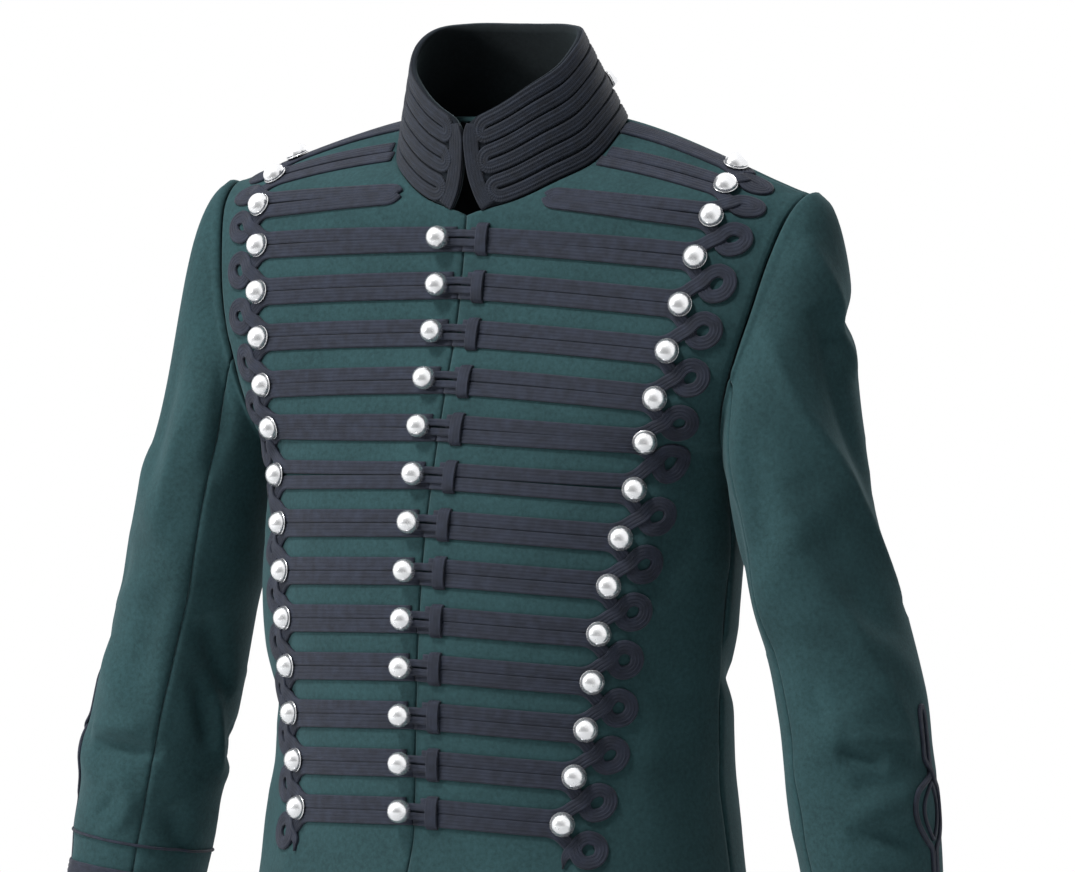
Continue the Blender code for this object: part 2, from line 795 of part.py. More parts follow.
def sleeve_piece(name, side, angles):
    facets = sleeve_facets(angles)
    outer = trim_grid(facets.points, 2 * SEAM_HALF, 0, SEAM_HALF, SEAM_HALF)
    inner = trim_grid(facets.points - facets.normals * CLOTH, 2 * INNER_CUT, 0, INNER_CUT, INNER_CUT)
    for grid in (outer, inner):
        grid[..., 0] *= side
    return make_object(name, wall_mesh(name, outer, inner), WOOL, 0.9)


def sleeves():
    for label, side in (("left", 1), ("right", -1)):
        sleeve_piece(f"sleeve_upper_{label}", side, UPPER_ANGLES)
        sleeve_piece(f"sleeve_under_{label}", side, UNDER_ANGLES)


def level_spacing(zone, level):
    """Millimetres on the cloth for one level, near a place. The closing rows are taken as evenly spaced."""
    if level >= 1:
        return ROW_PITCH
    low = max(level - SPACING_STEP, SHOULDER_LEVEL)
    high = level + SPACING_STEP
    return np.linalg.norm(front_point(zone, high, 1) - front_point(zone, low, 1)) / (high - low)


def flat_spot(distance, level, across=0.0, down=0.0):
    """A place on the flat drawing of a front, from real distances on the cloth."""
    zone = distance_to_zone(distance + across, level)
    new_level = level + down / level_spacing(abs(zone), level)
    return zone * FLAT, new_level * FLAT


def flat_slab(bm, outline, low, high):
    """A prism over an outline on the flat drawing, between two heights above the cloth."""
    rings = [[bm.verts.new((x, y, z)) for x, y in outline] for z in (low, high)]
    count = len(outline)
    bm.faces.new(rings[0])
    bm.faces.new(rings[1])
    for i in range(count):
        j = (i + 1) % count
        bm.faces.new((rings[0][i], rings[0][j], rings[1][j], rings[1][i]))


def flat_round(distance, level, radius, sides):
    turns = [2 * math.pi * (i + 0.5) / sides for i in range(sides)]
    return [flat_spot(distance, level, radius * math.cos(a), radius * math.sin(a)) for a in turns]


def flat_object(bm, name):
    face_outward(bm)
    mesh = bpy.data.meshes.new(name)
    bm.to_mesh(mesh)
    bm.free()
    obj = bpy.data.objects.new(name, mesh)
    obj.hide_render = True
    obj.display_type = "WIRE"
    CUTTERS.objects.link(obj)
    return obj


def bar_start(level):
    """Where a row's braid starts along its level's line."""
    if level >= 1:
        return EDGE_MARGIN
    if level == 0:
        return level_line(True, 0).distance_to_x(UPPER_BAR_START_X)
    return COLLAR_MARGIN


def bar_outline(level):
    start = bar_start(level)
    places = [zone_to_distance(zone, level, 1) for zone in PANEL_ZONES[1 : BUTTON_COLUMN + 1]]
    places = [start] + [p for p in places if p > start] + [button_distance(level) + BAR_PAST_BUTTON]
    upper = [flat_spot(place, level, 0, -BRAID_HALF_WIDTH) for place in places]
    lower = [flat_spot(place, level, 0, BRAID_HALF_WIDTH) for place in places]
    if level == 0:
        rounding = BRAID_HALF_WIDTH / 2
        for edge, way in ((upper, -1), (lower, 1)):
            tip = flat_spot(start, level, 0, way * rounding)
            edge[:1] = [tip, flat_spot(start, level, rounding, way * BRAID_HALF_WIDTH)]
    return upper + lower[::-1]


def ring_place(level):
    middle = level + 0.5
    return button_distance(middle) + RING_OUT, middle


def frogging(label, side):
    """The braid of one front, as one piece: rows, the rings that join them and the loops of the closure."""
    top = LAID_GAP + BRAID
    bars = bmesh.new()
    rings = bmesh.new()
    holes = bmesh.new()
    for row in ALL_ROWS:
        flat_slab(bars, bar_outline(row), LAID_GAP, top)
        distance, middle = ring_place(row)
        flat_slab(rings, flat_round(distance, middle, RING_RADIUS, RING_SIDES), LAID_GAP, top)
        flat_slab(holes, flat_round(distance, middle, RING_HOLE_RADIUS, HOLE_SIDES), 0, top + 1)
    base = flat_object(bars, f"bars_{label}")
    steps = [(flat_object(rings, f"rings_{label}"), "UNION")]
    if side > 0:
        steps.append((flat_object(closing_loops(), "loops"), "UNION"))
        for row in range(1, CLOSING_ROWS + 1):
            inset = -straight_value(BUTTON_INSET, row)
            flat_slab(holes, flat_round(inset, row, SHANK_HOLE_RADIUS, HOLE_SIDES), top, top + 4)
    steps.append((flat_object(holes, f"holes_{label}"), "DIFFERENCE"))
    mesh = combined(base, steps)
    fold_on_to_front(mesh, side)
    name = f"frogging_{label}"
    mesh.name = name
    return make_object(name, mesh, BRAID_COLOUR, 0.8)


def both_sides(outline, row):
    """An outline of distances and half widths, drawn on both sides of a row's middle."""
    upper = [flat_spot(distance, row, 0, -half) for distance, half in outline]
    lower = [flat_spot(distance, row, 0, half) for distance, half in outline]
    return upper + lower[::-1]


def closing_loops():
    """The loops that reach over the front edge to the closing buttons, each from under a square end."""
    bm = bmesh.new()
    low = 2 * LAID_GAP + BRAID
    high = low + TAB_THICKNESS
    square = TAB_END - TAB_LENGTH
    for row in range(1, CLOSING_ROWS + 1):
        tip = -straight_value(BUTTON_INSET, row) - LOOP_PAST_BUTTON
        flat_slab(bm, both_sides([(tip, LOOP_HALF_WIDTH), (square, LOOP_HALF_WIDTH)], row), low, high)
        seat = [(LOOP_SEAT, LOOP_HALF_WIDTH), (square, LOOP_HALF_WIDTH)]
        seat += [(square, TAB_HALF_WIDTH), (TAB_END, TAB_HALF_WIDTH)]
        flat_slab(bm, both_sides(seat, row), LAID_GAP + BRAID / 2, high)
    return bm


def combined(base, steps):
    """The mesh of a base object after Boolean steps, each an object and an operation."""
    for tool, operation in steps:
        modifier = base.modifiers.new(operation.lower(), "BOOLEAN")
        modifier.operation = operation
        modifier.solver = "EXACT"
        modifier.use_self = True
        modifier.object = tool
    depsgraph = bpy.context.evaluated_depsgraph_get()
    mesh = bpy.data.meshes.new_from_object(base.evaluated_get(depsgraph))
    for tool, operation in steps:
        bpy.data.objects.remove(tool, do_unlink=True)
    bpy.data.objects.remove(base, do_unlink=True)
    return mesh


def cut_across(bm, place, way):
    """Cuts a flat drawing's mesh along a straight line, so that it can bend there."""
    geometry = bm.verts[:] + bm.edges[:] + bm.faces[:]
    bmesh.ops.bisect_plane(bm, geom=geometry, plane_co=place, plane_no=way, dist=0.01)


def split_like_walls(bm, height):
    """Splits the four-sided faces at one height from corner to corner, as the cells of a wall are split."""
    for face in [f for f in bm.faces if len(f.verts) == 4]:
        if max(abs(v.co.z - height) for v in face.verts) < 0.001:
            order = sorted(face.verts, key=lambda v: v.co.x + v.co.y)
            if order[0].co.x < order[-1].co.x and order[0].co.y < order[-1].co.y:
                bmesh.utils.face_split(face, order[0], order[-1])


def fold_on_to_front(mesh, side):
    """Bends a flat drawing's mesh on to the front, with a groove down the middle of each row."""
    bm = bmesh.new()
    bm.from_mesh(mesh)
    bmesh.ops.dissolve_limit(bm, angle_limit=math.radians(1), verts=bm.verts, edges=bm.edges)
    for zone in PANEL_ZONES:
        cut_across(bm, (zone * FLAT, 0, 0), (1, 0, 0))
    for level in panel_levels():
        cut_across(bm, (0, level * FLAT, 0), (0, 1, 0))
    braid_top = LAID_GAP + BRAID
    for row in ALL_ROWS:
        band = [f for f in bm.faces if is_bar_top(f, row, braid_top)]
        geometry = list({v for f in band for v in f.verts}) + list({e for f in band for e in f.edges}) + band
        bmesh.ops.bisect_plane(bm, geom=geometry, plane_co=(0, row * FLAT, 0), plane_no=(0, 1, 0), dist=0.01)
    split_like_walls(bm, LAID_GAP)
    bmesh.ops.triangulate(bm, faces=bm.faces)
    for vert in bm.verts:
        zone = vert.co.x / FLAT
        level = vert.co.y / FLAT
        height = vert.co.z
        on_groove = abs(level - round(level)) < 0.002 and abs(height - braid_top) < 0.01
        if on_groove and abs(vert.co.x) > 0.01:
            height -= GROOVE_DEPTH
        vert.co = Vector(front_place(zone, level, side, height)) * MM
    face_outward(bm)
    bm.to_mesh(mesh)
    bm.free()
    smooth(mesh)


def is_bar_top(face, row, height):
    heights = [v.co.z for v in face.verts]
    levels = [v.co.y / FLAT for v in face.verts]
    flat = max(heights) - min(heights) < 0.001 and abs(heights[0] - height) < 0.001
    return flat and min(levels) < row < max(levels)


def down_to_run(down):
    """The run of a place a distance down the sleeve from the knot's tip."""
    return 1 + (CAP_END_Z - KNOT_TIP_Z + down) / ARM_STEP


def teardrop(half_width, length, top, points):
    """A pointed loop with its tip up, as places across and down."""
    outline = []
    for i in range(points):
        turn = 2 * math.pi * i / points
        pinch = (1 - math.cos(turn)) / 2
        outline.append((half_width * math.sin(turn) * pinch**KNOT_POINT, top + length * pinch))
    return outline


def cuff_braid(label, side):
    """A band round the cuff and a pointed knot above it, drawn flat as angle and distance, then wrapped."""
    band = bmesh.new()
    knot = bmesh.new()
    hole = bmesh.new()
    stem = bmesh.new()
    per_degree = math.pi * SLEEVE_SECTIONS[-3][3] / 180
    centre = KNOT_ANGLE_LEFT if side > 0 else KNOT_ANGLE_RIGHT
    top = LAID_GAP + CUFF_BRAID
    facets = sleeve_facets(np.concatenate([UPPER_ANGLES, UNDER_ANGLES[1:]]))
    turns = np.array([BACK_SEAM_ANGLE - 360 + CUFF_BAND_SEAM, BACK_SEAM_ANGLE - CUFF_BAND_SEAM])
    outline = [(a * per_degree, CUFF_BAND_DOWN) for a in turns]
    outline += [(a * per_degree, CUFF_BAND_DOWN + CUFF_BAND_WIDTH) for a in turns[::-1]]
    flat_slab(band, outline, LAID_GAP, top)

    def shifted(points):
        return [(centre * per_degree + x, y) for x, y in points]

    flat_slab(knot, shifted(teardrop(KNOT_HALF_WIDTH, KNOT_LENGTH, 0, KNOT_CORNERS)), LAID_GAP, top)
    inner_width = KNOT_HALF_WIDTH - KNOT_STRAND
    opening = teardrop(inner_width, KNOT_OPENING_LENGTH, KNOT_OPENING_DOWN, KNOT_OPENING_CORNERS)
    flat_slab(hole, shifted(opening), 0, top + 1)
    stem_top = KNOT_LENGTH - STEM_OVERLAP
    stem_end = CUFF_BAND_DOWN + STEM_OVERLAP
    left_side = [(-KNOT_STRAND, stem_end), (-KNOT_STRAND, stem_top)]
    right_side = [(KNOT_STRAND, stem_top), (KNOT_STRAND, stem_end)]
    flat_slab(stem, shifted(left_side + right_side), LAID_GAP, top)
    steps = [
        (flat_object(stem, "stem"), "UNION"),
        (flat_object(knot, "knot"), "UNION"),
        (flat_object(hole, "opening"), "DIFFERENCE"),
    ]
    mesh = combined(flat_object(band, "band"), steps)
    bm = bmesh.new()
    bm.from_mesh(mesh)
    for angle in facets.across:
        cut_across(bm, (angle * per_degree, 0, 0), (1, 0, 0))
    for run in facets.along:
        cut_across(bm, (0, (run - down_to_run(0)) * ARM_STEP, 0), (0, 1, 0))
    bmesh.ops.triangulate(bm, faces=bm.faces)
    for vert in bm.verts:
        spot, normal = facets.frame(vert.co.x / per_degree, down_to_run(vert.co.y))
        vert.co = Vector((spot + normal * vert.co.z) * np.array([side, 1, 1])) * MM
    face_outward(bm)
    bm.to_mesh(mesh)
    bm.free()
    smooth(mesh)
    name = f"cuff_braid_{label}"
    mesh.name = name
    return make_object(name, mesh, BRAID_COLOUR, 0.8)


def button_mesh(name, radius, height, shank):
    """A domed button turned round its axis, its back at zero height or on a shank."""
    profile = [(out * radius, up * height + shank) for out, up in DOME]
    if shank:
        profile += [(SHANK_RADIUS, shank), (SHANK_RADIUS, 0)]
    profile.append((0, 0))
    mesh = bpy.data.meshes.new(name)
    edges = [(i, i + 1) for i in range(len(profile) - 1)]
    mesh.from_pydata([(x * MM, 0, z * MM) for x, z in profile], edges, [])
    guide = bpy.data.objects.new(name, mesh)
    CUTTERS.objects.link(guide)
    screw = guide.modifiers.new("screw", "SCREW")
    screw.steps = BUTTON_SIDES
    screw.render_steps = BUTTON_SIDES
    screw.use_merge_vertices = True
    screw.merge_threshold = 0.00005
    depsgraph = bpy.context.evaluated_depsgraph_get()
    turned = bpy.data.meshes.new_from_object(guide.evaluated_get(depsgraph))
    bpy.data.objects.remove(guide, do_unlink=True)
    turned.name = name
    smooth(turned)
    return turned


def front_seat(zone, level, side):
    """A place on a finished front and the normal there."""
    spot = front_place(zone, level, side)
    return spot, unit(front_place(zone, level, side, 1.0) - spot)


def seat_button(name, mesh, spot, normal, height):
    obj = make_object(name, mesh.copy(), SILVER, 0.25, 1.0)
    turn = Vector(normal).to_track_quat("Z", "Y")
    obj.matrix_world = Matrix.Translation(Vector(spot + normal * height) * MM) @ turn.to_matrix().to_4x4()
    return obj


def buttons():
    seat = 2 * LAID_GAP + BRAID
    shank = TAB_THICKNESS + LAID_GAP
    plain = button_mesh("button", BUTTON_RADIUS, BUTTON_HEIGHT, 0)
    raised = button_mesh("raised_button", BUTTON_RADIUS, BUTTON_HEIGHT, shank)
    small = button_mesh("small_button", COLLAR_BUTTON_RADIUS, COLLAR_BUTTON_RADIUS, 0)
    for label, side in (("left", 1), ("right", -1)):
        for row in ALL_ROWS:
            spot, normal = front_seat(1, row, side)
            number = row - ALL_ROWS[0] + 1
            seat_button(f"button_{label}_{number:02d}", plain, spot, normal, seat)
        spot, normal = collar_frame(COLLAR_BUTTON_ANGLE, COLLAR_BUTTON_SHARE)
        flip = np.array([side, 1, 1])
        seat_button(f"button_collar_{label}", small, spot * flip, normal * flip, COLLAR_RELIEF + LAID_GAP)
    for row in range(1, CLOSING_ROWS + 1):
        zone = distance_to_zone(straight_value(BUTTON_INSET, row), row)
        spot, normal = front_seat(zone, row, -1)
        seat_button(f"button_front_{row:02d}", raised, spot, normal, seat)
    for mesh in (plain, raised, small):
        bpy.data.meshes.remove(mesh)


def main():
    for old in list(bpy.data.objects):
        bpy.data.objects.remove(old, do_unlink=True)
    bpy.context.scene.collection.children.link(PARTS)
    bpy.context.scene.collection.children.link(CUTTERS)
    front_panel("front_left", 1)
    front_panel("front_right", -1)
    back_panel("back")
    collar()
    sleeves()
    frogging("left", 1)
    frogging("right", -1)
    cuff_braid("left", 1)
    cuff_braid("right", -1)
    buttons()


main()
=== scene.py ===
"""A napoleon jacket dressed over its solids: creased wool, braided frogging, domed buttons and cuff knots.

Lengths are millimetres and angles are degrees until MM turns them into metres. The origin is the nape, +X
is the wearer's left, -Y the front and +Z up. A level counts braid rows down the jacket: 1 to 13 are the
closing rows, 0, -1 and -2 fan up to the shoulder seam, and larger numbers lie below the last row.
"""
import math
from functools import lru_cache

import bpy
import numpy as np
from mathutils import Matrix, Vector


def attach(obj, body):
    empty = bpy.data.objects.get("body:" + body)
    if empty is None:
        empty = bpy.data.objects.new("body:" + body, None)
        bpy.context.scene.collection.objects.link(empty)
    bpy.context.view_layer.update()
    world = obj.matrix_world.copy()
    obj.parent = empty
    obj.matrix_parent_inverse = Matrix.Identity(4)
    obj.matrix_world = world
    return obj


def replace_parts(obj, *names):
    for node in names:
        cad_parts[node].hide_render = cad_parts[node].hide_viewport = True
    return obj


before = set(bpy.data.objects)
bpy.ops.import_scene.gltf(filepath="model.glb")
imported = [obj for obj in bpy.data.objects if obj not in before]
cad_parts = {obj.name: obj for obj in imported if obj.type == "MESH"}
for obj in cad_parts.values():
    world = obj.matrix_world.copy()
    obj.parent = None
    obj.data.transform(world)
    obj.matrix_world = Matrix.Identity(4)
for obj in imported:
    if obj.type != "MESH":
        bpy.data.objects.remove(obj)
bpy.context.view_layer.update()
MM = 0.001

# The sizes and tables of the solids' form.
CLOTH = 2.0
BRAID_HALF_WIDTH = 9.75
ROW_PITCH = 33.4
ROW_ONE_Z = -78.0
CLOSING_ROWS = 13
ALL_ROWS = range(-2, CLOSING_ROWS + 1)
NECK_LEVEL = 0.5
NAPE_LEVEL = -1 - BRAID_HALF_WIDTH / ROW_PITCH
ARMPIT_LEVEL = 5.5
HEM_LEVEL = 15.4
SHOULDER_LEVEL = -2.6
# The neck seam is an ellipse seen from above. Angle 0 is the front, 90 the side and 180 the nape.
NECK_HALF_WIDTH = 86.0
NECK_HALF_DEPTH = 60.0
NECK_CENTRE_Y = -57.0
RIM_HALF_WIDTH = 63.5
RIM_HALF_DEPTH = 42.0
RIM_CENTRE_Y = -84.0

# angle, height of the neck seam, height of the collar's rim
COLLAR_HEIGHTS = [
    (0, -61, 2),
    (25, -50, 16),
    (45, -36, 30),
    (68, -21, 44),
    (90, 0, 60),
    (112, 11, 71),
    (140, 6, 76),
    (180, 0, 77),
]

# level, neck angle where the level's line starts on the front
FRONT_NECK = [(SHOULDER_LEVEL, 105), (-2, 97), (-1, 72), (0, 30), (0.25, 17), (0.5, 0)]

# level, neck angle where the level's line starts on the back
BACK_NECK = [(SHOULDER_LEVEL, 105), (-2, 135), (NAPE_LEVEL, 180)]

# level, depth of the front edge
FRONT_EDGE_Y = [
    (0.5, -117),
    (1, -118),
    (2, -121),
    (3, -126),
    (4, -135),
    (5, -143),
    (6, -150),
    (7, -156),
    (9, -161),
    (11, -160),
    (13, -157),
    (15.4, -156),
]

# level, depth and height of the back's middle line
BACK_MIDDLE = [
    (NAPE_LEVEL, 3, 0),
    (0, 20, -36),
    (1, 33, -70),
    (2, 43, -107),
    (3, 50, -143),
    (4, 55, -178),
    (5.5, 59, -229),
    (7, 60, -280),
    (9, 59, -347),
    (11, 64, -414),
    (13, 77, -480),
    (15.4, 88, -560),
]

# level, x, y, z of the side seam that the front and the back share below the armpit, then the fullness and
# the outer handle of the front and those of the back
SIDE_OUTER = [
    (5.5, 187, -58, -226, 112, 52, 103, 64),
    (6, 187, -55, -250, 110, 54, 103, 63),
    (7, 186, -51, -285, 104, 58, 102, 61),
    (9, 181, -46, -352, 101, 63, 103, 61),
    (11, 175, -37, -419, 97, 67, 102, 59),
    (12, 173, -32, -452, 98, 72, 104, 60),
    (13, 177, -28, -486, 102, 76, 108, 62),
    (15.4, 192, -25, -563, 110, 80, 112, 64),
]
SIDE_SEAM = [row[:4] for row in SIDE_OUTER]
SEAM_HEADING = 90

# level, x, y, z of the front's outer end, heading (0 sideways, 90 straight back), fullness, outer handle
FRONT_OUTER = [
    (-2.6, 233, -44, -40, 0, 50, 50),
    (-2, 233, -50, -41, 8, 60, 48),
    (-1, 231, -63, -49, 22, 75, 42),
    (0, 228, -74, -63, 32, 90, 38),
    (1, 222, -84, -90, 38, 116, 34),
    (2, 215, -91, -123, 46, 116, 34),
    (3, 206, -94, -155, 54, 114, 34),
    (4, 196, -90, -188, 66, 112, 38),
    (5, 189, -74, -216, 82, 112, 44),
]
FRONT_OUTER += [(*row[:4], SEAM_HEADING, *row[4:6]) for row in SIDE_OUTER]

# the same columns for the back, whose heading runs from sideways to straight forward
BACK_OUTER = [
    (-2.6, 233, -44, -40, 0, 50, 50),
    (-2, 233, -38, -41, 10, 60, 48),
    (-1, 230, -24, -53, 24, 75, 44),
    (0, 225, -9, -71, 34, 90, 40),
    (1, 218, 6, -94, 42, 112, 38),
    (2, 210, 16, -126, 50, 112, 38),
    (3, 202, 17, -158, 60, 110, 40),
    (4, 195, 3, -189, 74, 106, 46),
    (5, 189, -33, -211, 86, 104, 56),
]
BACK_OUTER += [(*row[:4], SEAM_HEADING, *row[6:]) for row in SIDE_OUTER]

# level, distance of the outer buttons from the middle
BUTTON_LINE = [
    (-2.6, 177),
    (-2, 178),
    (-1, 183),
    (0, 183),
    (1, 177),
    (3, 165),
    (5, 151),
    (7, 137),
    (9, 126),
    (11, 118),
    (13, 106),
    (15.4, 104),
]

# How steeply a level's line falls, and how much more so at its two ends on the shoulder
ROW_SLOPE = -0.03
START_SLOPE_AT_SHOULDER = -0.19
END_SLOPE_AT_SHOULDER = -0.3

# The front edges swing to the wearer's right below the last row.
EDGE_SWING = 10.0
EDGE_SWING_LEVEL = 13.3

# level, distance of the closing buttons from the front edge
BUTTON_INSET = [(1, 18), (2, 15.5), (4, 14.5), (7, 10), (13, 8)]

# How far the rings' zone reaches past the button line, and how far it stays from the front's outer edge
RING_ZONE = 42.0
RING_CLEAR = 6.0

# Where the braid starts: row 0 at an x, the closing rows beside the front edge, the rest beside the collar
UPPER_BAR_START_X = 63.0
EDGE_MARGIN = 1.2
COLLAR_MARGIN = 2.5

TAB_END = 20.0
TAB_LENGTH = 9.0
BUTTON_RADIUS = 8.75
BUTTON_HEIGHT = 8.6
COLLAR_BUTTON_RADIUS = 6.5
COLLAR_BUTTON_ANGLE = 121.0

COLLAR_WALL = 3.0
COLLAR_GAP_AT_TOP = 1.0
COLLAR_GAP_AT_BASE = 12.0
COLLAR_GAP_CURVE = 3.0
RIM_CORNER_DROP = 7.0
RIM_CORNER_ANGLE = 11.0
COLLAR_BUTTON_SHARE = 0.42

# height down the arm, x and y of the sleeve's centre line, its outer, inner and front-to-back radii
SLEEVE_SECTIONS = [
    (-238, 231, -50, 54, 37, 57),
    (-270, 241, -50, 50, 40, 56),
    (-305, 251, -47, 49, 44, 55),
    (-345, 263, -40, 50, 44, 54),
    (-390, 275, -37, 52, 47, 54),
    (-445, 287, -38, 51, 50, 53),
    (-510, 299, -37, 48, 48, 50),
    (-560, 305, -38, 45, 45, 48),
    (-618, 312, -40, 42, 42, 45),
]

# The largest folds of the sleeves: height and angle of the middle, fall in mm for each degree, half length
# in degrees, half width and height in mm
SLEEVE_FOLDS = [
    (-286, 78, -0.55, 48, 17, 3.4),
    (-352, 40, 0.75, 52, 17, 3.0),
    (-418, 84, -0.5, 46, 15, 3.2),
    (-462, 36, -0.3, 50, 13, 3.6),
    (-500, 70, 0.35, 46, 13, 2.6),
    (-452, 214, 0.3, 50, 15, 3.4),
    (-330, 236, -0.5, 44, 17, 2.8),
]

CAP_END_Z = SLEEVE_SECTIONS[0][0]
CUFF_Z = SLEEVE_SECTIONS[-1][0]
ARM_STEP = 40.0
SLEEVE_RUNS = 1 + (CAP_END_Z - CUFF_Z) / ARM_STEP
TILT_STEP = 4.0

# The cap's lines leave the armhole and meet the arm with handles, given outside the arm and below it.
CAP_WAY_OUTSIDE = np.array([1.0, 0.0, 0.25])
CAP_WAY_UNDER = np.array([0.25, 0.0, -0.95])
CAP_WAY_FORWARD = 0.15
CAP_HANDLE_OUTSIDE = 36.0
CAP_HANDLE_UNDER = 6.0
CAP_END_WAY = np.array([-0.32, 0.0, 1.0])
CAP_END_HANDLE = 0.42
# The pointed knot on the outside of each cuff stands on a band of braid.
KNOT_TIP_Z = -404.0
KNOT_ANGLES = {1: 0.0, -1: 18.0}
CUFF_BAND_DOWN = 134.0
CUFF_BAND_WIDTH = 20.0

FRONT_SEAM_ANGLE = 120.0
BACK_SEAM_ANGLE = 245.0


def column_values(table, key):
    """A smooth curve through each column of a table, read at key."""
    rows = np.array(table, float)
    keys = rows[:, 0]
    values = rows[:, 1:]
    key = min(max(key, keys[0]), keys[-1])
    slopes = np.gradient(values, keys, axis=0)
    i = min(int(np.searchsorted(keys, key, side="right")) - 1, len(keys) - 2)
    span = keys[i + 1] - keys[i]
    t = (key - keys[i]) / span
    h00 = 2 * t**3 - 3 * t**2 + 1
    h10 = t**3 - 2 * t**2 + t
    h01 = -2 * t**3 + 3 * t**2
    h11 = t**3 - t**2
    return h00 * values[i] + h10 * span * slopes[i] + h01 * values[i + 1] + h11 * span * slopes[i + 1]


def straight_value(table, key):
    """The second column of a table, read at key along straight lines."""
    rows = np.array(table, float)
    return float(np.interp(key, rows[:, 0], rows[:, 1]))


def lengths_along(points):
    """The distance of each of a line's points from its first."""
    return np.concatenate([[0], np.cumsum(np.linalg.norm(np.diff(points, axis=0), axis=1))])


def points_along(places, along, points):
    """A line's points, read at places between those that along gives."""
    return np.stack([np.interp(places, along, column) for column in points.T], axis=-1)


def arc_between(start, start_handle, end_handle, end, t):
    """A curve from start to end, drawn by its two handle points and read at t."""
    near = (1 - t) ** 3 * start + 3 * (1 - t) ** 2 * t * start_handle
    return near + 3 * (1 - t) * t**2 * end_handle + t**3 * end


def unit_rows(vectors):
    return vectors / np.maximum(np.linalg.norm(vectors, axis=-1, keepdims=True), 1e-9)


def neck_point(angle):
    turn = math.radians(angle)
    height = column_values(COLLAR_HEIGHTS, angle)[0]
    y = NECK_CENTRE_Y - NECK_HALF_DEPTH * math.cos(turn)
    return np.array([NECK_HALF_WIDTH * math.sin(turn), y, height])


def rim_point(angle):
    turn = math.radians(angle)
    height = column_values(COLLAR_HEIGHTS, angle)[1]
    y = RIM_CENTRE_Y - RIM_HALF_DEPTH * math.cos(turn)
    return np.array([RIM_HALF_WIDTH * math.sin(turn), y, height])


def level_height(level):
    return ROW_ONE_Z - ROW_PITCH * (level - 1)


def front_start(level):
    if level < NECK_LEVEL:
        return neck_point(straight_value(FRONT_NECK, level))
    return np.array([0.0, column_values(FRONT_EDGE_Y, level)[0], level_height(level)])


def back_start(level):
    if level < NAPE_LEVEL:
        return neck_point(straight_value(BACK_NECK, level))
    depth, height = column_values(BACK_MIDDLE, level)
    return np.array([0.0, depth, height])


class LevelLine:
    """One level's line on the front or the back, measured along its length from the middle or the neck."""

    SAMPLES = 60

    def __init__(self, is_front, level):
        start = front_start(level) if is_front else back_start(level)
        x, y, z, heading, fullness, handle = column_values(FRONT_OUTER if is_front else BACK_OUTER, level)
        end = np.array([x, y, z])
        if level >= ARMPIT_LEVEL:
            end = column_values(SIDE_SEAM, level)
        shoulder_share = min(max((NECK_LEVEL - level) / (NECK_LEVEL - SHOULDER_LEVEL), 0), 1)
        start_slope = ROW_SLOPE + START_SLOPE_AT_SHOULDER * shoulder_share
        end_slope = ROW_SLOPE + END_SLOPE_AT_SHOULDER * shoulder_share
        toward_back = 1 if is_front else -1
        turn = math.radians(heading)
        start_way = np.array([1.0, 0.0, start_slope])
        end_way = np.array([math.cos(turn), toward_back * math.sin(turn), end_slope * math.cos(turn)])
        t = np.linspace(0, 1, self.SAMPLES)[:, None]
        self.points = arc_between(start, start + start_way * fullness, end - end_way * handle, end, t)
        self.along = lengths_along(self.points)
        self.length = self.along[-1]

    def distance_to_x(self, x):
        return float(np.interp(x, self.points[:, 0], self.along))

    def read(self, distances):
        """Points at distances from the line's start, mirrored where they are negative."""
        spots = points_along(abs(distances), self.along, self.points)
        spots[:, 0] *= np.where(distances < 0, -1, 1)
        return spots


@lru_cache(maxsize=None)
def level_line(is_front, level):
    return LevelLine(is_front, level)


def front_marks(level):
    """How far the outer button line, the rings' zone and the outer edge lie along a level's line."""
    line = level_line(True, level)
    button = line.distance_to_x(column_values(BUTTON_LINE, level)[0])
    return button, min(button + RING_ZONE, line.length - RING_CLEAR), line.length


def edge_swing(level):
    """How far the front edges swing to the wearer's right below the last row."""
    share = min(max((level - EDGE_SWING_LEVEL) / (HEM_LEVEL - EDGE_SWING_LEVEL), 0), 1)
    return EDGE_SWING * share * share * (3 - 2 * share)


def collar_point(angle, share):
    """A point of the collar's outer face. share runs from the neck seam to the rim."""
    opening = (1 - share) ** COLLAR_GAP_CURVE * COLLAR_GAP_AT_BASE
    gap = opening / NECK_HALF_WIDTH + share * COLLAR_GAP_AT_TOP / RIM_HALF_WIDTH
    first = math.degrees(gap)
    turned = first + (360 - 2 * first) * angle / 360
    way = 1 if turned <= 180 else -1
    folded = turned if turned <= 180 else 360 - turned
    low = neck_point(folded)
    high = rim_point(folded)
    high[2] -= RIM_CORNER_DROP * max(0, 1 - folded / RIM_CORNER_ANGLE) ** 2
    spot = low * (1 - share) + high * share
    spot[0] *= way
    return spot


def armhole_run(table):
    """The armhole's seam from the shoulder down to the armpit, as points and the share of its length."""
    levels = np.linspace(SHOULDER_LEVEL, ARMPIT_LEVEL, 80)
    points = np.array([column_values(table, level)[:3] for level in levels])
    along = lengths_along(points)
    return points, along / along[-1]


ARMHOLE_FRONT = armhole_run(FRONT_OUTER)
ARMHOLE_BACK = armhole_run(BACK_OUTER)


def armhole_point(angle):
    angle = angle % 360
    points, share = ARMHOLE_FRONT if angle <= 180 else ARMHOLE_BACK
    return points_along(min(angle, 360 - angle) / 180, share, points)


def fold_height(angle, height):
    """How far the sleeve's folds stand out of its smooth form at a place."""
    total = 0.0
    for middle, turn, fall, half_length, half_width, rise in SLEEVE_FOLDS:
        away = (angle - turn + 180) % 360 - 180
        off = height - middle - fall * away
        total += rise * math.exp(-((away / half_length) ** 2) - (off / half_width) ** 2)
    return total


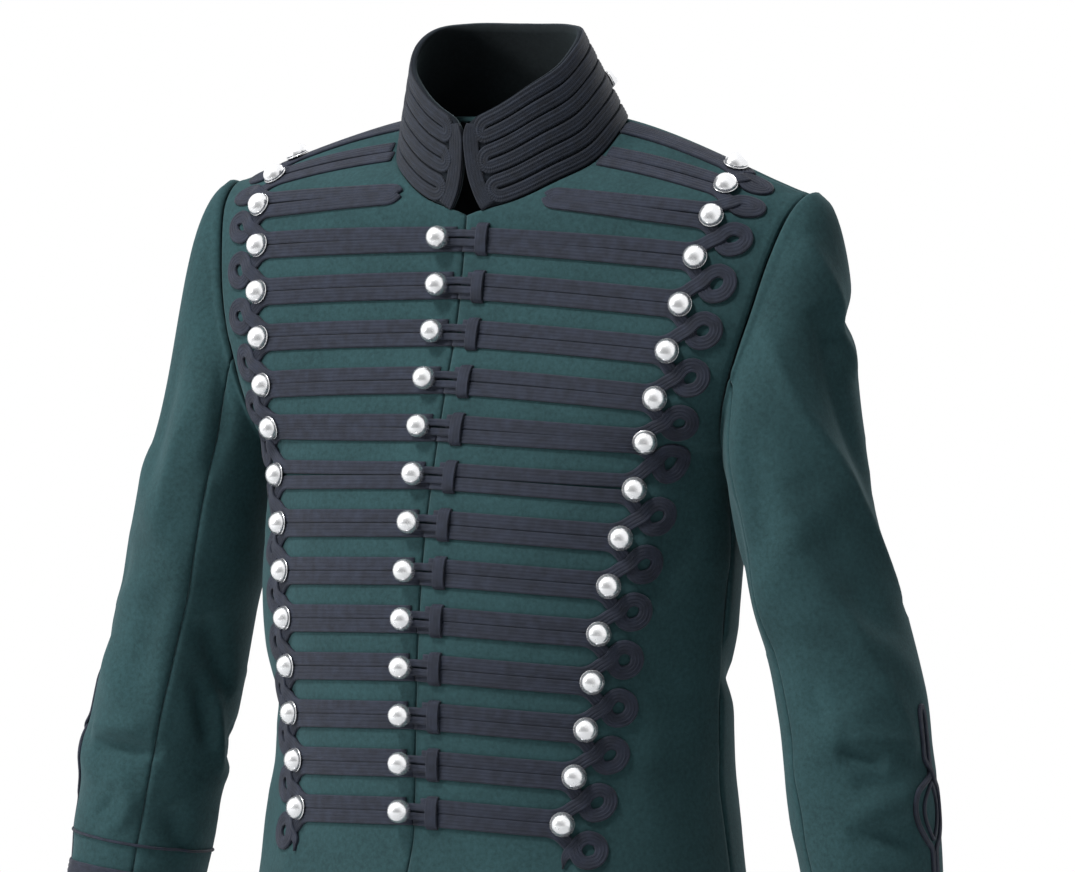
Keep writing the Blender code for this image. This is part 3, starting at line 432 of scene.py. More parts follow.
@lru_cache(maxsize=None)
def section_values(height):
    """The sleeve's centre line and radii at a height."""
    return column_values([(-row[0], *row[1:]) for row in SLEEVE_SECTIONS], -height)


def arm_section(angle, height):
    """A point of the sleeve's section. Angle 0 is the outside, 90 the front and 180 the body's side."""
    x, y, outside, inside, depth = section_values(height)
    level = max(min(height, CAP_END_Z - TILT_STEP), CUFF_Z + TILT_STEP)
    ahead = section_values(level - TILT_STEP)[:2] - section_values(level + TILT_STEP)[:2]
    slope = ahead / (2 * TILT_STEP) * (0.5 + 0.5 * min((CAP_END_Z - height) / ARM_STEP, 1))
    turn = math.radians(angle)
    reach = outside if math.cos(turn) > 0 else inside
    fold = fold_height(angle, height)
    dx = (reach + fold) * math.cos(turn)
    dy = -(depth + fold) * math.sin(turn)
    tilt = dx * slope[0] + dy * slope[1]
    return np.array([x + dx, y + dy, height + tilt])


def sleeve_point(angle, run):
    """run is 0 at the armhole, 1 where the cap ends, then one more for each ARM_STEP down the arm."""
    if run >= 1:
        return arm_section(angle, CAP_END_Z - (run - 1) * ARM_STEP)
    turn = math.radians(angle)
    under = (1 - math.cos(turn)) / 2
    start = armhole_point(angle)
    end = arm_section(angle, CAP_END_Z)
    way = CAP_WAY_OUTSIDE * (1 - under) + CAP_WAY_UNDER * under
    way[1] = -CAP_WAY_FORWARD * math.sin(turn)
    handle = CAP_HANDLE_OUTSIDE * (1 - under) + CAP_HANDLE_UNDER * under
    end_handle = end + CAP_END_WAY * CAP_END_HANDLE * np.linalg.norm(end - start)
    return arc_between(start, start + unit_rows(way) * handle, end_handle, end, run)


# Fine form of the cloth.
def grid_normals(points):
    """Unit normals of a grid of points, rows down and columns across."""
    return unit_rows(np.cross(np.gradient(points, axis=0), np.gradient(points, axis=1)))


class Sheet:
    """A fine grid of points on a cloth's outer face, with the normals that point away from the wearer."""

    def __init__(self, across, along, points, outward):
        self.across = np.array(across, float)
        self.along = np.array(along, float)
        self.points = points
        self.outward = outward
        self.normals = grid_normals(points) * outward
        self.laid = None

    def keep_for_braid(self):
        """Keeps the present form, points and normals, as the one that braid lies on."""
        self.laid = (self.points, self.normals)

    def raise_by(self, heights):
        self.points = self.points + self.normals * heights[..., None]
        self.normals = grid_normals(self.points) * self.outward

    def read(self, grid, across, along):
        j = np.clip(np.searchsorted(self.across, across, side="right") - 1, 0, len(self.across) - 2)
        i = np.clip(np.searchsorted(self.along, along, side="right") - 1, 0, len(self.along) - 2)
        s = ((across - self.across[j]) / (self.across[j + 1] - self.across[j]))[:, None]
        t = ((along - self.along[i]) / (self.along[i + 1] - self.along[i]))[:, None]
        low = grid[i, j] * (1 - s) + grid[i, j + 1] * s
        high = grid[i + 1, j] * (1 - s) + grid[i + 1, j + 1] * s
        return low * (1 - t) + high * t

    def under_braid(self, across, along):
        """Points and unit normals of the kept form."""
        points, normals = (self.read(grid, across, along) for grid in self.laid)
        return points, unit_rows(normals)


# How a seam's edge turns in: depth and half width of the turn, height and half width of the ridge beside it
SEAM_TURN = (1.2, 1.0, 0.3, 2.4)
SEAM_RIDGE_FROM_EDGE = 5.0


def edge_distances(points):
    """Distances of a grid's points from its first row, its first column and its last column."""
    down = np.linalg.norm(np.diff(points, axis=0), axis=-1)
    across = np.linalg.norm(np.diff(points, axis=1), axis=-1)
    from_top = np.concatenate([np.zeros((1, points.shape[1])), np.cumsum(down, axis=0)])
    from_first = np.concatenate([np.zeros((points.shape[0], 1)), np.cumsum(across, axis=1)], axis=1)
    return from_top, from_first, from_first[:, -1:] - from_first


def turned_edges(points):
    """How far the cloth dips into its seams and edges and stands up beside them, but for the last row."""
    depth, turn, height, ridge = SEAM_TURN
    total = np.zeros(points.shape[:2])
    for away in edge_distances(points):
        total -= depth * np.exp(-((away / turn) ** 2))
        total += height * np.exp(-(((away - SEAM_RIDGE_FROM_EDGE) / ridge) ** 2))
    return total


CREASE_TAPER = 0.6
CREST_ROUNDING = 0.25


def crease_heights(u, v, creases):
    """Sharp ridges and round valleys along lines of flat millimetre coordinates, fading at their ends."""
    total = np.zeros(u.shape)
    for line, half_width, height in creases:
        nearest = np.full(u.shape, 1e9)
        place = np.zeros(u.shape)
        passed = 0.0
        for (u0, v0), (u1, v1) in zip(line, line[1:]):
            length = math.hypot(u1 - u0, v1 - v0)
            t = np.clip(((u - u0) * (u1 - u0) + (v - v0) * (v1 - v0)) / length**2, 0, 1)
            away = np.hypot(u - u0 - t * (u1 - u0), v - v0 - t * (v1 - v0))
            place = np.where(away < nearest, passed + t * length, place)
            nearest = np.minimum(nearest, away)
            passed += length
        taper = np.sin(np.clip(place / passed, 0, 1) * math.pi) ** CREASE_TAPER
        away = nearest / half_width
        ridge = np.exp(CREST_ROUNDING - np.sqrt(away**2 + CREST_ROUNDING**2))
        total += height * taper * np.where(height > 0, ridge, np.exp(-(away**2)))
    return total


# Creases of the fronts and the back: a line of x and z, half width and height, negative for a valley
FRONT_CREASES = {
    1: [
        ([(188, -232), (168, -282), (158, -330)], 11, -3.0),
        ([(176, -240), (150, -290), (146, -330)], 10, 1.8),
        ([(181, -300), (165, -372), (168, -430)], 12, -2.6),
        ([(160, -395), (150, -450), (160, -520)], 14, 2.2),
        ([(120, -500), (128, -540), (140, -563)], 16, 2.4),
        ([(60, -515), (66, -545), (70, -563)], 16, 1.6),
        ([(196, -150), (172, -176), (150, -190)], 10, -1.2),
    ],
    -1: [
        ([(-186, -236), (-170, -270), (-150, -300)], 11, -3.0),
        ([(-182, -300), (-168, -340), (-160, -400)], 12, 2.0),
        ([(-178, -380), (-160, -410), (-140, -425)], 12, -2.2),
        ([(-175, -440), (-160, -480), (-150, -540)], 14, 2.4),
        ([(-110, -505), (-122, -535), (-130, -563)], 15, 2.0),
        ([(-30, -515), (-36, -545), (-34, -563)], 14, 1.4),
        ([(-200, -150), (-180, -180), (-158, -196)], 10, -1.3),
    ],
}
BACK_CREASES = [
    ([(187, -352), (172, -376), (150, -392)], 11, -4.6),
    ([(188, -232), (150, -262), (110, -280)], 13, -2.6),
    ([(-188, -236), (-148, -270), (-104, -284)], 13, -2.8),
    ([(182, -262), (140, -300), (96, -316)], 12, 2.0),
    ([(-184, -270), (-136, -306), (-90, -326)], 12, 2.2),
    ([(120, -330), (60, -352), (-20, -356), (-96, -344)], 14, -2.4),
    ([(110, -372), (40, -384), (-44, -382), (-130, -366)], 13, 2.0),
    ([(150, -395), (158, -460), (150, -530)], 14, 2.4),
    ([(-150, -400), (-160, -462), (-146, -536)], 14, 2.2),
    ([(70, -480), (84, -530), (92, -563)], 16, -2.4),
    ([(-64, -484), (-80, -528), (-84, -563)], 16, -2.2),
    ([(190, -120), (150, -150), (120, -210)], 14, 1.6),
    ([(-192, -124), (-152, -158), (-126, -214)], 14, 1.8),
]

# Creases of the sleeves: a line of angle and z, half width and height
SLEEVE_CREASES = {
    1: [
        ([(-88, -104), (-30, -124), (30, -142)], 12, -4.4),
        ([(30, -72), (24, -84), (12, -108), (4, -130), (-6, -152), (-14, -166)], 9, 4.6),
        ([(30, -118), (16, -170), (2, -226), (-8, -252)], 11, -3.6),
        ([(82, -126), (68, -148), (47, -190), (25, -225), (10, -256), (-8, -290), (-20, -320)], 9, 4.4),
        ([(60, -235), (40, -288), (26, -346)], 13, -2.4),
        ([(64, -290), (50, -310), (41, -352), (26, -390), (8, -426)], 10, 2.8),
        ([(96, -170), (104, -230), (112, -286)], 12, 1.8),
        ([(84, -205), (92, -262), (96, -310)], 13, -2.0),
        ([(66, -412), (42, -413), (10, -419)], 7, 2.6),
        ([(76, -424), (58, -427), (40, -430)], 7, -3.6),
        ([(68, -446), (48, -443), (28, -448)], 8, -2.2),
        ([(72, -462), (48, -461), (26, -466)], 8, 1.6),
        ([(76, -480), (51, -479), (26, -486)], 8, -2.2),
        ([(88, -370), (85, -395), (80, -416)], 5, -0.9),
        ([(150, -190), (158, -240), (150, -300)], 12, 2.2),
        ([(126, -250), (138, -300), (142, -360)], 12, -2.2),
    ],
    -1: [
        ([(88, -184), (79, -231), (83, -300)], 8, 3.0),
        ([(60, -150), (52, -210), (58, -280)], 12, -2.4),
        ([(110, -306), (108, -371), (114, -426), (120, -486)], 9, 2.0),
        ([(94, -330), (92, -392), (98, -430)], 12, -1.6),
        ([(117, -171), (120, -214), (121, -256)], 9, -3.0),
        ([(138, -352), (156, -383), (180, -410)], 9, -4.4),
        ([(162, -408), (174, -441), (186, -468)], 6, 3.8),
        ([(141, -389), (153, -419), (168, -450)], 7, -4.0),
        ([(52, -437), (87, -434), (110, -435)], 7, 3.2),
        ([(64, -449), (99, -451), (128, -452)], 6, -4.2),
        ([(80, -474), (98, -474), (109, -488), (104, -504), (82, -512)], 6, 2.4),
        ([(86, -490), (92, -494)], 8, -1.6),
        ([(141, -490), (153, -512), (165, -524)], 8, -3.2),
        ([(190, -434), (212, -449), (238, -452)], 11, -4.6),
        ([(30, -230), (20, -290), (26, -350)], 12, 2.2),
        ([(40, -300), (34, -350), (20, -400)], 12, -1.8),
    ],
}
HIDDEN_SLEEVE_CREASES = [
    ([(216, -250), (240, -292), (276, -320)], 12, 2.6),
    ([(206, -300), (232, -338), (268, -356)], 12, -2.8),
    ([(222, -392), (262, -404), (304, -398)], 10, 3.0),
    ([(216, -420), (258, -430), (310, -422)], 9, -3.4),
    ([(226, -452), (270, -458), (320, -448)], 10, 2.2),
    ([(286, -150), (300, -205), (310, -262)], 12, 2.0),
    ([(320, -210), (330, -270), (326, -330)], 13, -2.2),
    ([(196, -480), (214, -520), (224, -570)], 12, 2.0),
    ([(60, -530), (40, -560), (30, -600)], 12, 1.6),
    ([(300, -520), (318, -556), (312, -600)], 12, -1.8),
]
SLEEVE_MM_PER_DEGREE = 0.86
SLEEVE_CREASE_DEPTH = 1.7
TORSO_CREASE_DEPTH = 1.5

# The seam allowances round a sleeve's head lift its cloth in a low welt: its height, how far from the seam
# it lies and its half width. Creases begin past the seam and reach their full height further down.
WELT_HEIGHT = 1.4
WELT_IN = 4.5
WELT_HALF = 3.0
CREASE_START = 4
CREASE_START_LENGTH = 20

# The lines of the sheets' grids, closer together beside the seams. A front's zones are 0 at the front edge,
# 1 at the outer button line, 2 past the rings and 3 at the outer edge.
TORSO_LEVELS = np.concatenate([
    SHOULDER_LEVEL + np.array([0, 0.03, 0.07, 0.12]),
    np.linspace(-2.4, HEM_LEVEL, 190),
])
FRONT_ZONES = np.concatenate([
    [0, 0.012, 0.03],
    np.linspace(0.06, 1, 34),
    np.linspace(1, 2, 15)[1:],
    [2.07, 2.14, 2.22, 2.3, 2.38, 2.46, 2.54, 2.62, 2.7, 2.77, 2.83, 2.88, 2.92, 2.95, 2.975, 2.99, 3],
])
HALF_BACK_SHARES = np.concatenate([np.linspace(0, 0.92, 46), [0.945, 0.965, 0.98, 0.99, 1]])
SLEEVE_RUN_LINES = np.concatenate([
    [0, 0.02, 0.05],
    np.linspace(0.09, 1, 44),
    np.linspace(1, SLEEVE_RUNS, 124)[1:],
])
ANGLES_BESIDE_SEAM = np.array([0, 1.2, 2.6, 4.6])
ANGLES_INNER_START = 8


def front_sheet(side):
    rows = []
    for level in TORSO_LEVELS:
        distances = np.interp(FRONT_ZONES, [0, 1, 2, 3], [0, *front_marks(level)])
        distances = distances - side * edge_swing(level) * np.clip(1 - FRONT_ZONES, 0, 1)
        rows.append(level_line(True, level).read(distances) * (side, 1, 1))
    sheet = Sheet(FRONT_ZONES, TORSO_LEVELS, np.array(rows), side)
    heights = crease_heights(sheet.points[..., 0], sheet.points[..., 2], FRONT_CREASES[side])
    sheet.raise_by(heights * TORSO_CREASE_DEPTH)
    sheet.keep_for_braid()
    sheet.raise_by(turned_edges(sheet.points))
    return sheet


def back_sheet():
    shares = np.concatenate([-HALF_BACK_SHARES[:0:-1], HALF_BACK_SHARES])
    lines = [level_line(False, level) for level in TORSO_LEVELS]
    rows = [line.read(shares * line.length) for line in lines]
    sheet = Sheet(shares, TORSO_LEVELS, np.array(rows), -1)
    heights = crease_heights(sheet.points[..., 0], sheet.points[..., 2], BACK_CREASES)
    sheet.raise_by(heights * TORSO_CREASE_DEPTH)
    sheet.raise_by(turned_edges(sheet.points))
    return sheet


def angles_between(first, last, count):
    """Angles from one seam to the next, closer together beside both."""
    inner = np.linspace(first + ANGLES_INNER_START, last - ANGLES_INNER_START, count)
    return np.concatenate([first + ANGLES_BESIDE_SEAM, inner, last - ANGLES_BESIDE_SEAM[::-1]])


def sleeve_sheet(side, angles):
    base = np.array([[sleeve_point(angle, run) for angle in angles] for run in SLEEVE_RUN_LINES])
    base[..., 0] *= side
    sheet = Sheet(angles, SLEEVE_RUN_LINES, base, -side)
    height = base[..., 2]
    creases = []
    for line, half_width, rise in SLEEVE_CREASES[side] + HIDDEN_SLEEVE_CREASES:
        creases.append(([(angle * SLEEVE_MM_PER_DEGREE, z) for angle, z in line], half_width, rise))
    total = np.zeros(height.shape)
    for shift in (0, -360):
        around = (angles % 360 + shift) * SLEEVE_MM_PER_DEGREE
        total += crease_heights(np.tile(around, (len(base), 1)), height, creases)
    from_seam, _, _ = edge_distances(base)
    fade = np.clip((from_seam - CREASE_START) / CREASE_START_LENGTH, 0, 1)
    welt = WELT_HEIGHT * np.exp(-(((from_seam - WELT_IN) / WELT_HALF) ** 2))
    sheet.raise_by(total * fade * SLEEVE_CREASE_DEPTH + welt)
    sheet.keep_for_braid()
    sheet.raise_by(turned_edges(sheet.points))
    return sheet


# Meshes.
def add_piece(name, points, faces, materials, places=None):
    """A piece of the jacket from points in millimetres, with an optional flat place for each point."""
    mesh = bpy.data.meshes.new(name)
    mesh.from_pydata((np.asarray(points) * MM).tolist(), [], faces)
    for material in materials:
        mesh.materials.append(material)
    if places is not None:
        layer = mesh.uv_layers.new(name="UVMap")
        corners = np.zeros(len(mesh.loops), int)
        mesh.loops.foreach_get("vertex_index", corners)
        layer.data.foreach_set("uv", np.asarray(places)[corners].ravel())
    mesh.shade_smooth()
    obj = bpy.data.objects.new(name, mesh)
    bpy.context.scene.collection.objects.link(obj)
    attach(obj, "root")
    return obj


def grid_faces(rows, columns, reverse=False):
    i, j = np.meshgrid(np.arange(rows - 1), np.arange(columns - 1), indexing="ij")
    corner = (i * columns + j).ravel()
    faces = np.stack([corner, corner + columns, corner + columns + 1, corner + 1], axis=1)
    return (faces[:, ::-1] if reverse else faces).tolist()


def cloth_piece(name, sheet, thickness, materials):
    rows, columns = sheet.points.shape[:2]
    faces = grid_faces(rows, columns, sheet.outward < 0)
    obj = add_piece(name, sheet.points.reshape(-1, 3), faces, materials)
    shell = obj.modifiers.new("thickness", "SOLIDIFY")
    shell.thickness = thickness * MM
    shell.offset = -1
    shell.material_offset = len(materials) - 1
    return obj


# How much lower a braid's outermost cords lie than its middle
BRAID_CROWN = 0.3


def corded_section(half_width, low, high, cords, samples=4, groove=0.35):
    """A closed profile whose top is rows of rounded cords, with a flat underside."""
    profile = []
    for k in range(cords):
        for step in range(samples + 1):
            if k and not step:
                continue
            t = 2 * step / samples - 1
            a = half_width * ((2 * k + 1 + t) / cords - 1)
            crown = high - BRAID_CROWN * (a / half_width) ** 2
            profile.append((a, crown - groove * t * t))
    profile.append((half_width, low))
    profile.append((-half_width, low))
    return np.array(profile)


def round_section(radius, sides):
    turns = np.linspace(math.pi, -math.pi, sides, endpoint=False)
    return np.array([(radius * math.cos(t), radius * math.sin(t)) for t in turns])


class Ribbons:
    """Strands swept along paths into one mesh. Places hold the length along and the place across."""

    def __init__(self):
        self.points = []
        self.places = []
        self.faces = []
        self.count = 0

    def sweep(self, centres, normals, section, widths=None, closed=False):
        if closed:
            centres = np.concatenate([centres, centres[:1]])
            normals = np.concatenate([normals, normals[:1]])
            widths = None if widths is None else np.append(widths, widths[0])
            ahead = np.concatenate([centres[1:], centres[1:2]])
            behind = np.concatenate([centres[-2:-1], centres[:-1]])
            tangents = unit_rows(ahead - behind)
        else:
            tangents = unit_rows(np.gradient(centres, axis=0))
        across = unit_rows(np.cross(tangents, normals))
        up = np.cross(across, tangents)
        count = len(centres)
        size = len(section)
        widths = np.ones(count) if widths is None else widths
        a = widths[:, None] * section[None, :, 0]
        h = section[:, 1]
        points = centres[:, None] + across[:, None] * a[..., None] + up[:, None] * h[:, None]
        places = np.stack([np.repeat(lengths_along(centres), size), np.tile(section[:, 0], count)], axis=1)
        i, j = np.meshgrid(np.arange(count - 1) * size, np.arange(size), indexing="ij")
        after = (j + 1) % size
        quads = np.stack([i + j, i + after, i + size + after, i + size + j], axis=-1)
        self.faces += (quads.reshape(-1, 4) + self.count).tolist()
        if not closed:
            last = (count - 1) * size + self.count
            self.faces.append(list(range(self.count + size - 1, self.count - 1, -1)))
            self.faces.append(list(range(last, last + size)))
        self.points.append(points.reshape(-1, 3))
        self.places.append(places)
        self.count += count * size

    def piece(self, name, material):
        points = np.concatenate(self.points)
        return add_piece(name, points, self.faces, [material], np.concatenate(self.places) * MM)


def smooth_path(points, step):
    """A Catmull-Rom curve through points, spaced evenly."""
    points = np.array(points, float)
    padded = np.concatenate([[2 * points[0] - points[1]], points, [2 * points[-1] - points[-2]]])
    t = np.linspace(0, 1, 12, endpoint=False)[:, None]
    pieces = []
    for p0, p1, p2, p3 in zip(padded, padded[1:], padded[2:], padded[3:]):
        a = 2 * p0 - 5 * p1 + 4 * p2 - p3
        b = 3 * p1 - p0 - 3 * p2 + p3
        pieces.append(0.5 * (2 * p1 + (p2 - p0) * t + a * t**2 + b * t**3))
    fine = np.concatenate(pieces + [points[-1:]])
    along = lengths_along(fine)
    even = np.linspace(0, along[-1], max(int(round(along[-1] / step)) + 1, 3))
    return points_along(even, along, fine)


def mirrored(points):
    """The same points in the opposite order, on the other side of the middle line."""
    return [(-a, b) for a, b in points[::-1]]


# Frogging. The flat coordinates of a row are its real distance outward from the button line and down from
# the row's middle.
STRAND_OFFSET = BRAID_HALF_WIDTH / 2
STRAND_SECTION = corded_section(4.78, -0.4, 2.3, 4)
RING_CENTRE = 20.5
RING_TURN = 9.0
CROSSING = (10.4, 16.7)
CROSSING_LIFT = 1.7
CROSSING_SPREAD = 7.0
RING_REACH = 14.0
ROW_END = [(-9, 4.9), (-4, 6.0), (0.8, 8.6), (4.8, 12.2)]
TOP_STRAND_END = [(-4, -STRAND_OFFSET), (4, -4.4), (9, -2.2), (12.5, 2.5)]
TAIL_END = [(5.2, 22.6), (4, 31)]
# The last row's tail narrows over this length to this share of its width.
TAIL_TAPER_LENGTH = 14
TAIL_WIDTH_SHARE = 0.12

# Row 0's bar ends in a loop of its strand: distance past the loop's middle and down from the row's middle
BAR_END_RADIUS = 0.78 * STRAND_OFFSET
BAR_END = [
    (-BAR_END_RADIUS - 1.4, 0),
    (-BAR_END_RADIUS, 2.4),
    (-1.2, STRAND_OFFSET - 0.5),
    (3, STRAND_OFFSET),
]


def ring_path(ending):
    """From the row above, down across the braid, round the ring and on to the points of the ending."""
    turns = np.radians([145, 117, 90, 45, 0, -45, -90, -117, -145])
    ring = [(RING_CENTRE + RING_TURN * math.cos(t), ROW_PITCH / 2 + RING_TURN * math.sin(t)) for t in turns]
    return [*ROW_END, CROSSING, *ring, CROSSING, *ending]


RING_PATH = ring_path([(out, ROW_PITCH - down) for out, down in ROW_END[::-1]])
TAIL_PATH = ring_path(TAIL_END)
BAR_STEP = 4.0
RING_STEP = 2.1


class Front:
    """One front's cloth, read by the real distance from the middle and by level."""

    def __init__(self, sheet, side):
        self.sheet = sheet
        self.side = side
        marks = [front_marks(level) for level in sheet.along]
        self.button, self.ring_end, self.length = np.transpose(marks)

    def button_at(self, level):
        return np.interp(level, self.sheet.along, self.button)

    def zones(self, distance, level):
        button = self.button_at(level)
        ring_end = np.interp(level, self.sheet.along, self.ring_end)
        length = np.interp(level, self.sheet.along, self.length)
        outer = np.where(
            distance <= ring_end,
            1 + (distance - button) / (ring_end - button),
            2 + (distance - ring_end) / (length - ring_end),
        )
        return np.clip(np.where(distance <= button, distance / button, outer), 0, 3)

    def at(self, distance, level):
        return self.sheet.under_braid(self.zones(distance, level), level)

    def row_gap(self, row, distance):
        """Real distance on the cloth from a row to the next one down, at distances from the middle."""
        if row >= 1:
            return np.full(len(distance), ROW_PITCH)
        levels = np.full(len(distance), float(row))
        zones = self.zones(distance, levels)
        high, _ = self.sheet.under_braid(zones, levels)
        low, _ = self.sheet.under_braid(zones, levels + 1)
        return np.linalg.norm(low - high, axis=1)

    def strand(self, row, path):
        """Points and normals of a path of flat coordinates that hangs from a row."""
        out, down = path[:, 0], path[:, 1]
        level = row + np.clip(down, -STRAND_OFFSET, ROW_PITCH + STRAND_OFFSET) / ROW_PITCH
        for _ in range(2):
            distance = self.button_at(level) + out
            gap = self.row_gap(row, distance)
            blend = np.clip((down - STRAND_OFFSET) / (ROW_PITCH - 2 * STRAND_OFFSET), 0, 1)
            real = down * (1 - blend) + (gap - (ROW_PITCH - down)) * blend
            level = row + real / gap
        return self.at(self.button_at(level) + out, level)


def bar_start(front, row):
    if row >= 1:
        return EDGE_MARGIN
    if row == 0:
        return level_line(True, 0).distance_to_x(UPPER_BAR_START_X)
    return COLLAR_MARGIN


def crossing_lift(path, crossing, spread):
    """How far the second half of a path is lifted off the cloth to cross over its first half."""
    away = np.hypot(path[:, 0] - crossing[0], path[:, 1] - crossing[1])
    lift = CROSSING_LIFT * np.exp(-((away / spread) ** 2))
    lift[: len(path) // 2] = 0
    return lift[:, None]


def straight(start, end, down):
    count = max(int(abs(end - start) / BAR_STEP), 2)
    return np.stack([np.linspace(start, end, count, endpoint=False), np.full(count, down)], axis=1)


def frogging_strands(front):
    """Every strand of one front: along a row, round the ring beside it and back along the next row."""
    ribbons = Ribbons()
    low = STRAND_OFFSET
    high = ROW_PITCH - STRAND_OFFSET
    starts = {row: bar_start(front, row) - float(front.button_at(row)) for row in ALL_ROWS}
    top = ALL_ROWS[0]
    top_end = smooth_path([(-RING_REACH, -low), *TOP_STRAND_END], RING_STEP)
    path = np.concatenate([straight(starts[top], -RING_REACH, -low), top_end])
    ribbons.sweep(*front.strand(top, path), STRAND_SECTION)
    bar_end = [(starts[0] + BAR_END_RADIUS + past, down) for past, down in BAR_END]
    bar_end_x = bar_end[-1][0]
    for row in ALL_ROWS:
        if row == 0:
            parts = [smooth_path(bar_end, RING_STEP)[:-1], straight(bar_end_x, -RING_REACH, low)]
        else:
            parts = [straight(starts[row], -RING_REACH, low)]
        ending = TAIL_PATH if row == CLOSING_ROWS else [*RING_PATH, (-RING_REACH, high)]
        parts.append(smooth_path([(-RING_REACH, low), *ending], RING_STEP))
        if row == -1:
            parts.append(straight(-RING_REACH - BAR_STEP, bar_end_x, high))
            parts.append(smooth_path([(x, ROW_PITCH - down) for x, down in bar_end[::-1]], RING_STEP))
        elif row < CLOSING_ROWS:
            parts.append(straight(-RING_REACH - BAR_STEP, starts[row + 1], high))
        path = np.concatenate(parts)
        widths = None
        if row == CLOSING_ROWS:
            left = np.linspace(1, 0, len(path)) * len(path) * RING_STEP
            widths = np.clip(left / TAIL_TAPER_LENGTH, TAIL_WIDTH_SHARE, 1)
        spots, normals = front.strand(row, path)
        lift = crossing_lift(path, CROSSING, CROSSING_SPREAD)
        ribbons.sweep(spots + normals * lift, normals, STRAND_SECTION, widths)
    return ribbons


# The closing loops are drawn in signed distances from the middle, wearer's left positive.
LOOP_SECTION = corded_section(2.6, -0.1, 1.5, 2)
LOOP_HEIGHT = 2.6
LOOP_RADIUS = 3.2
LOOP_ARC_GAP = 0.6
LOOP_UNDER_TAB = 2
LOOP_LEG_STEP = 3
LOOP_STEP = 1.6
TAB_SECTION = corded_section(TAB_LENGTH / 2, -0.2, 1.35, 7, 2, 0.3)
TAB_MIDDLE = TAB_END - TAB_LENGTH / 2
# Place up and down the jacket and height off the cloth, over the loop's two legs
HALF_TAB_PROFILE = [(-10.6, 0.2), (-10.1, 1.6), (-8.6, 2.9), (-4, 3.9)]
TAB_PROFILE = smooth_path([*HALF_TAB_PROFILE, (0, 4.1), *mirrored(HALF_TAB_PROFILE)], 1.0)


def over_closure(fronts, distance, level):
    """Places on either front by signed distance from the middle."""
    left = distance >= 0
    spots = np.zeros((len(distance), 3))
    normals = np.zeros((len(distance), 3))
    for side, chosen in ((1, left), (-1, ~left)):
        if chosen.any():
            spots[chosen], normals[chosen] = fronts[side].at(abs(distance[chosen]), level[chosen])
    return spots, normals


def closing_loops(fronts):
    """The loops that hold the closing buttons, each under a short tab of braid."""
    ribbons = Ribbons()
    turns = np.radians(np.linspace(90, 270, 13))
    for row in range(1, CLOSING_ROWS + 1):
        inset = straight_value(BUTTON_INSET, row)
        arc_x = -inset - LOOP_ARC_GAP
        arc = [(arc_x + LOOP_RADIUS * math.cos(t), LOOP_RADIUS * math.sin(t)) for t in turns]
        leg = np.arange(TAB_MIDDLE + LOOP_UNDER_TAB, -inset, -LOOP_LEG_STEP)
        path = [(x, LOOP_RADIUS) for x in leg] + arc + [(x, -LOOP_RADIUS) for x in leg[::-1]]
        path = smooth_path(path, LOOP_STEP)
        spots, normals = over_closure(fronts, path[:, 0], row + path[:, 1] / ROW_PITCH)
        ribbons.sweep(spots + normals * LOOP_HEIGHT, normals, LOOP_SECTION)
        level = row + TAB_PROFILE[:, 0] / ROW_PITCH
        spots, normals = over_closure(fronts, np.full(len(level), TAB_MIDDLE), level)
        bent = spots + normals * TAB_PROFILE[:, 1:2]
        middle = normals[len(normals) // 2]
        ways = unit_rows(np.gradient(bent, axis=0))
        across = unit_rows(np.gradient(spots, axis=0))
        level_part = (ways * across).sum(axis=1, keepdims=True)
        rising_part = (ways * middle).sum(axis=1, keepdims=True)
        ribbons.sweep(bent, unit_rows(middle * level_part - across * rising_part), TAB_SECTION)
    return ribbons


# Collar. Flat coordinates are the distance from the front edge along the middle of the collar's height, and
# the share of that height.
COLLAR_ROWS = 6
COLLAR_EDGE_SHARE = 0.5
HAIRPIN_START = 14.5
HAIRPIN_TURN = 5.5
HAIRPIN_FROM_MIDDLE = 2.2
HAIRPIN_WIDTH_SHARE = 0.43
EDGE_BAND_SHARES = np.linspace(0.015, 0.975, 30)
EDGE_BAND_MIDDLE = 6.6
EDGE_BAND_TAPER_START = 0.8
EDGE_BAND_TAPER = 0.55
EDGE_BAND_TURN = 1.2
EDGE_BAND_SECTION = corded_section(5.7, -0.4, 1.8, 5, 3, 0.3)
COLLAR_SECTION = corded_section(1.0, -0.3, 1.9, 4)


class Collar:
    """The collar's cloth, read by the distance from one front edge and by share of the height."""

    def __init__(self):
        self.angles = np.linspace(0, 360, 181)
        shares = np.linspace(0, 1, 15)
        points = np.array([[collar_point(angle, share) for angle in self.angles] for share in shares])
        self.sheet = Sheet(self.angles, shares, points, -1)
        self.along = lengths_along(points[len(shares) // 2])
        self.heights = np.linalg.norm(points[-1] - points[0], axis=1)
        self.sheet.keep_for_braid()
        self.sheet.raise_by(COLLAR_EDGE_SHARE * turned_edges(points))

    def at(self, distance, share, side):
        """Points, normals and the collar's slant height there."""
        place = distance if side > 0 else self.along[-1] - distance
        angle = np.interp(place, self.along, self.angles)
        return *self.sheet.under_braid(angle, share), np.interp(angle, self.angles, self.heights)


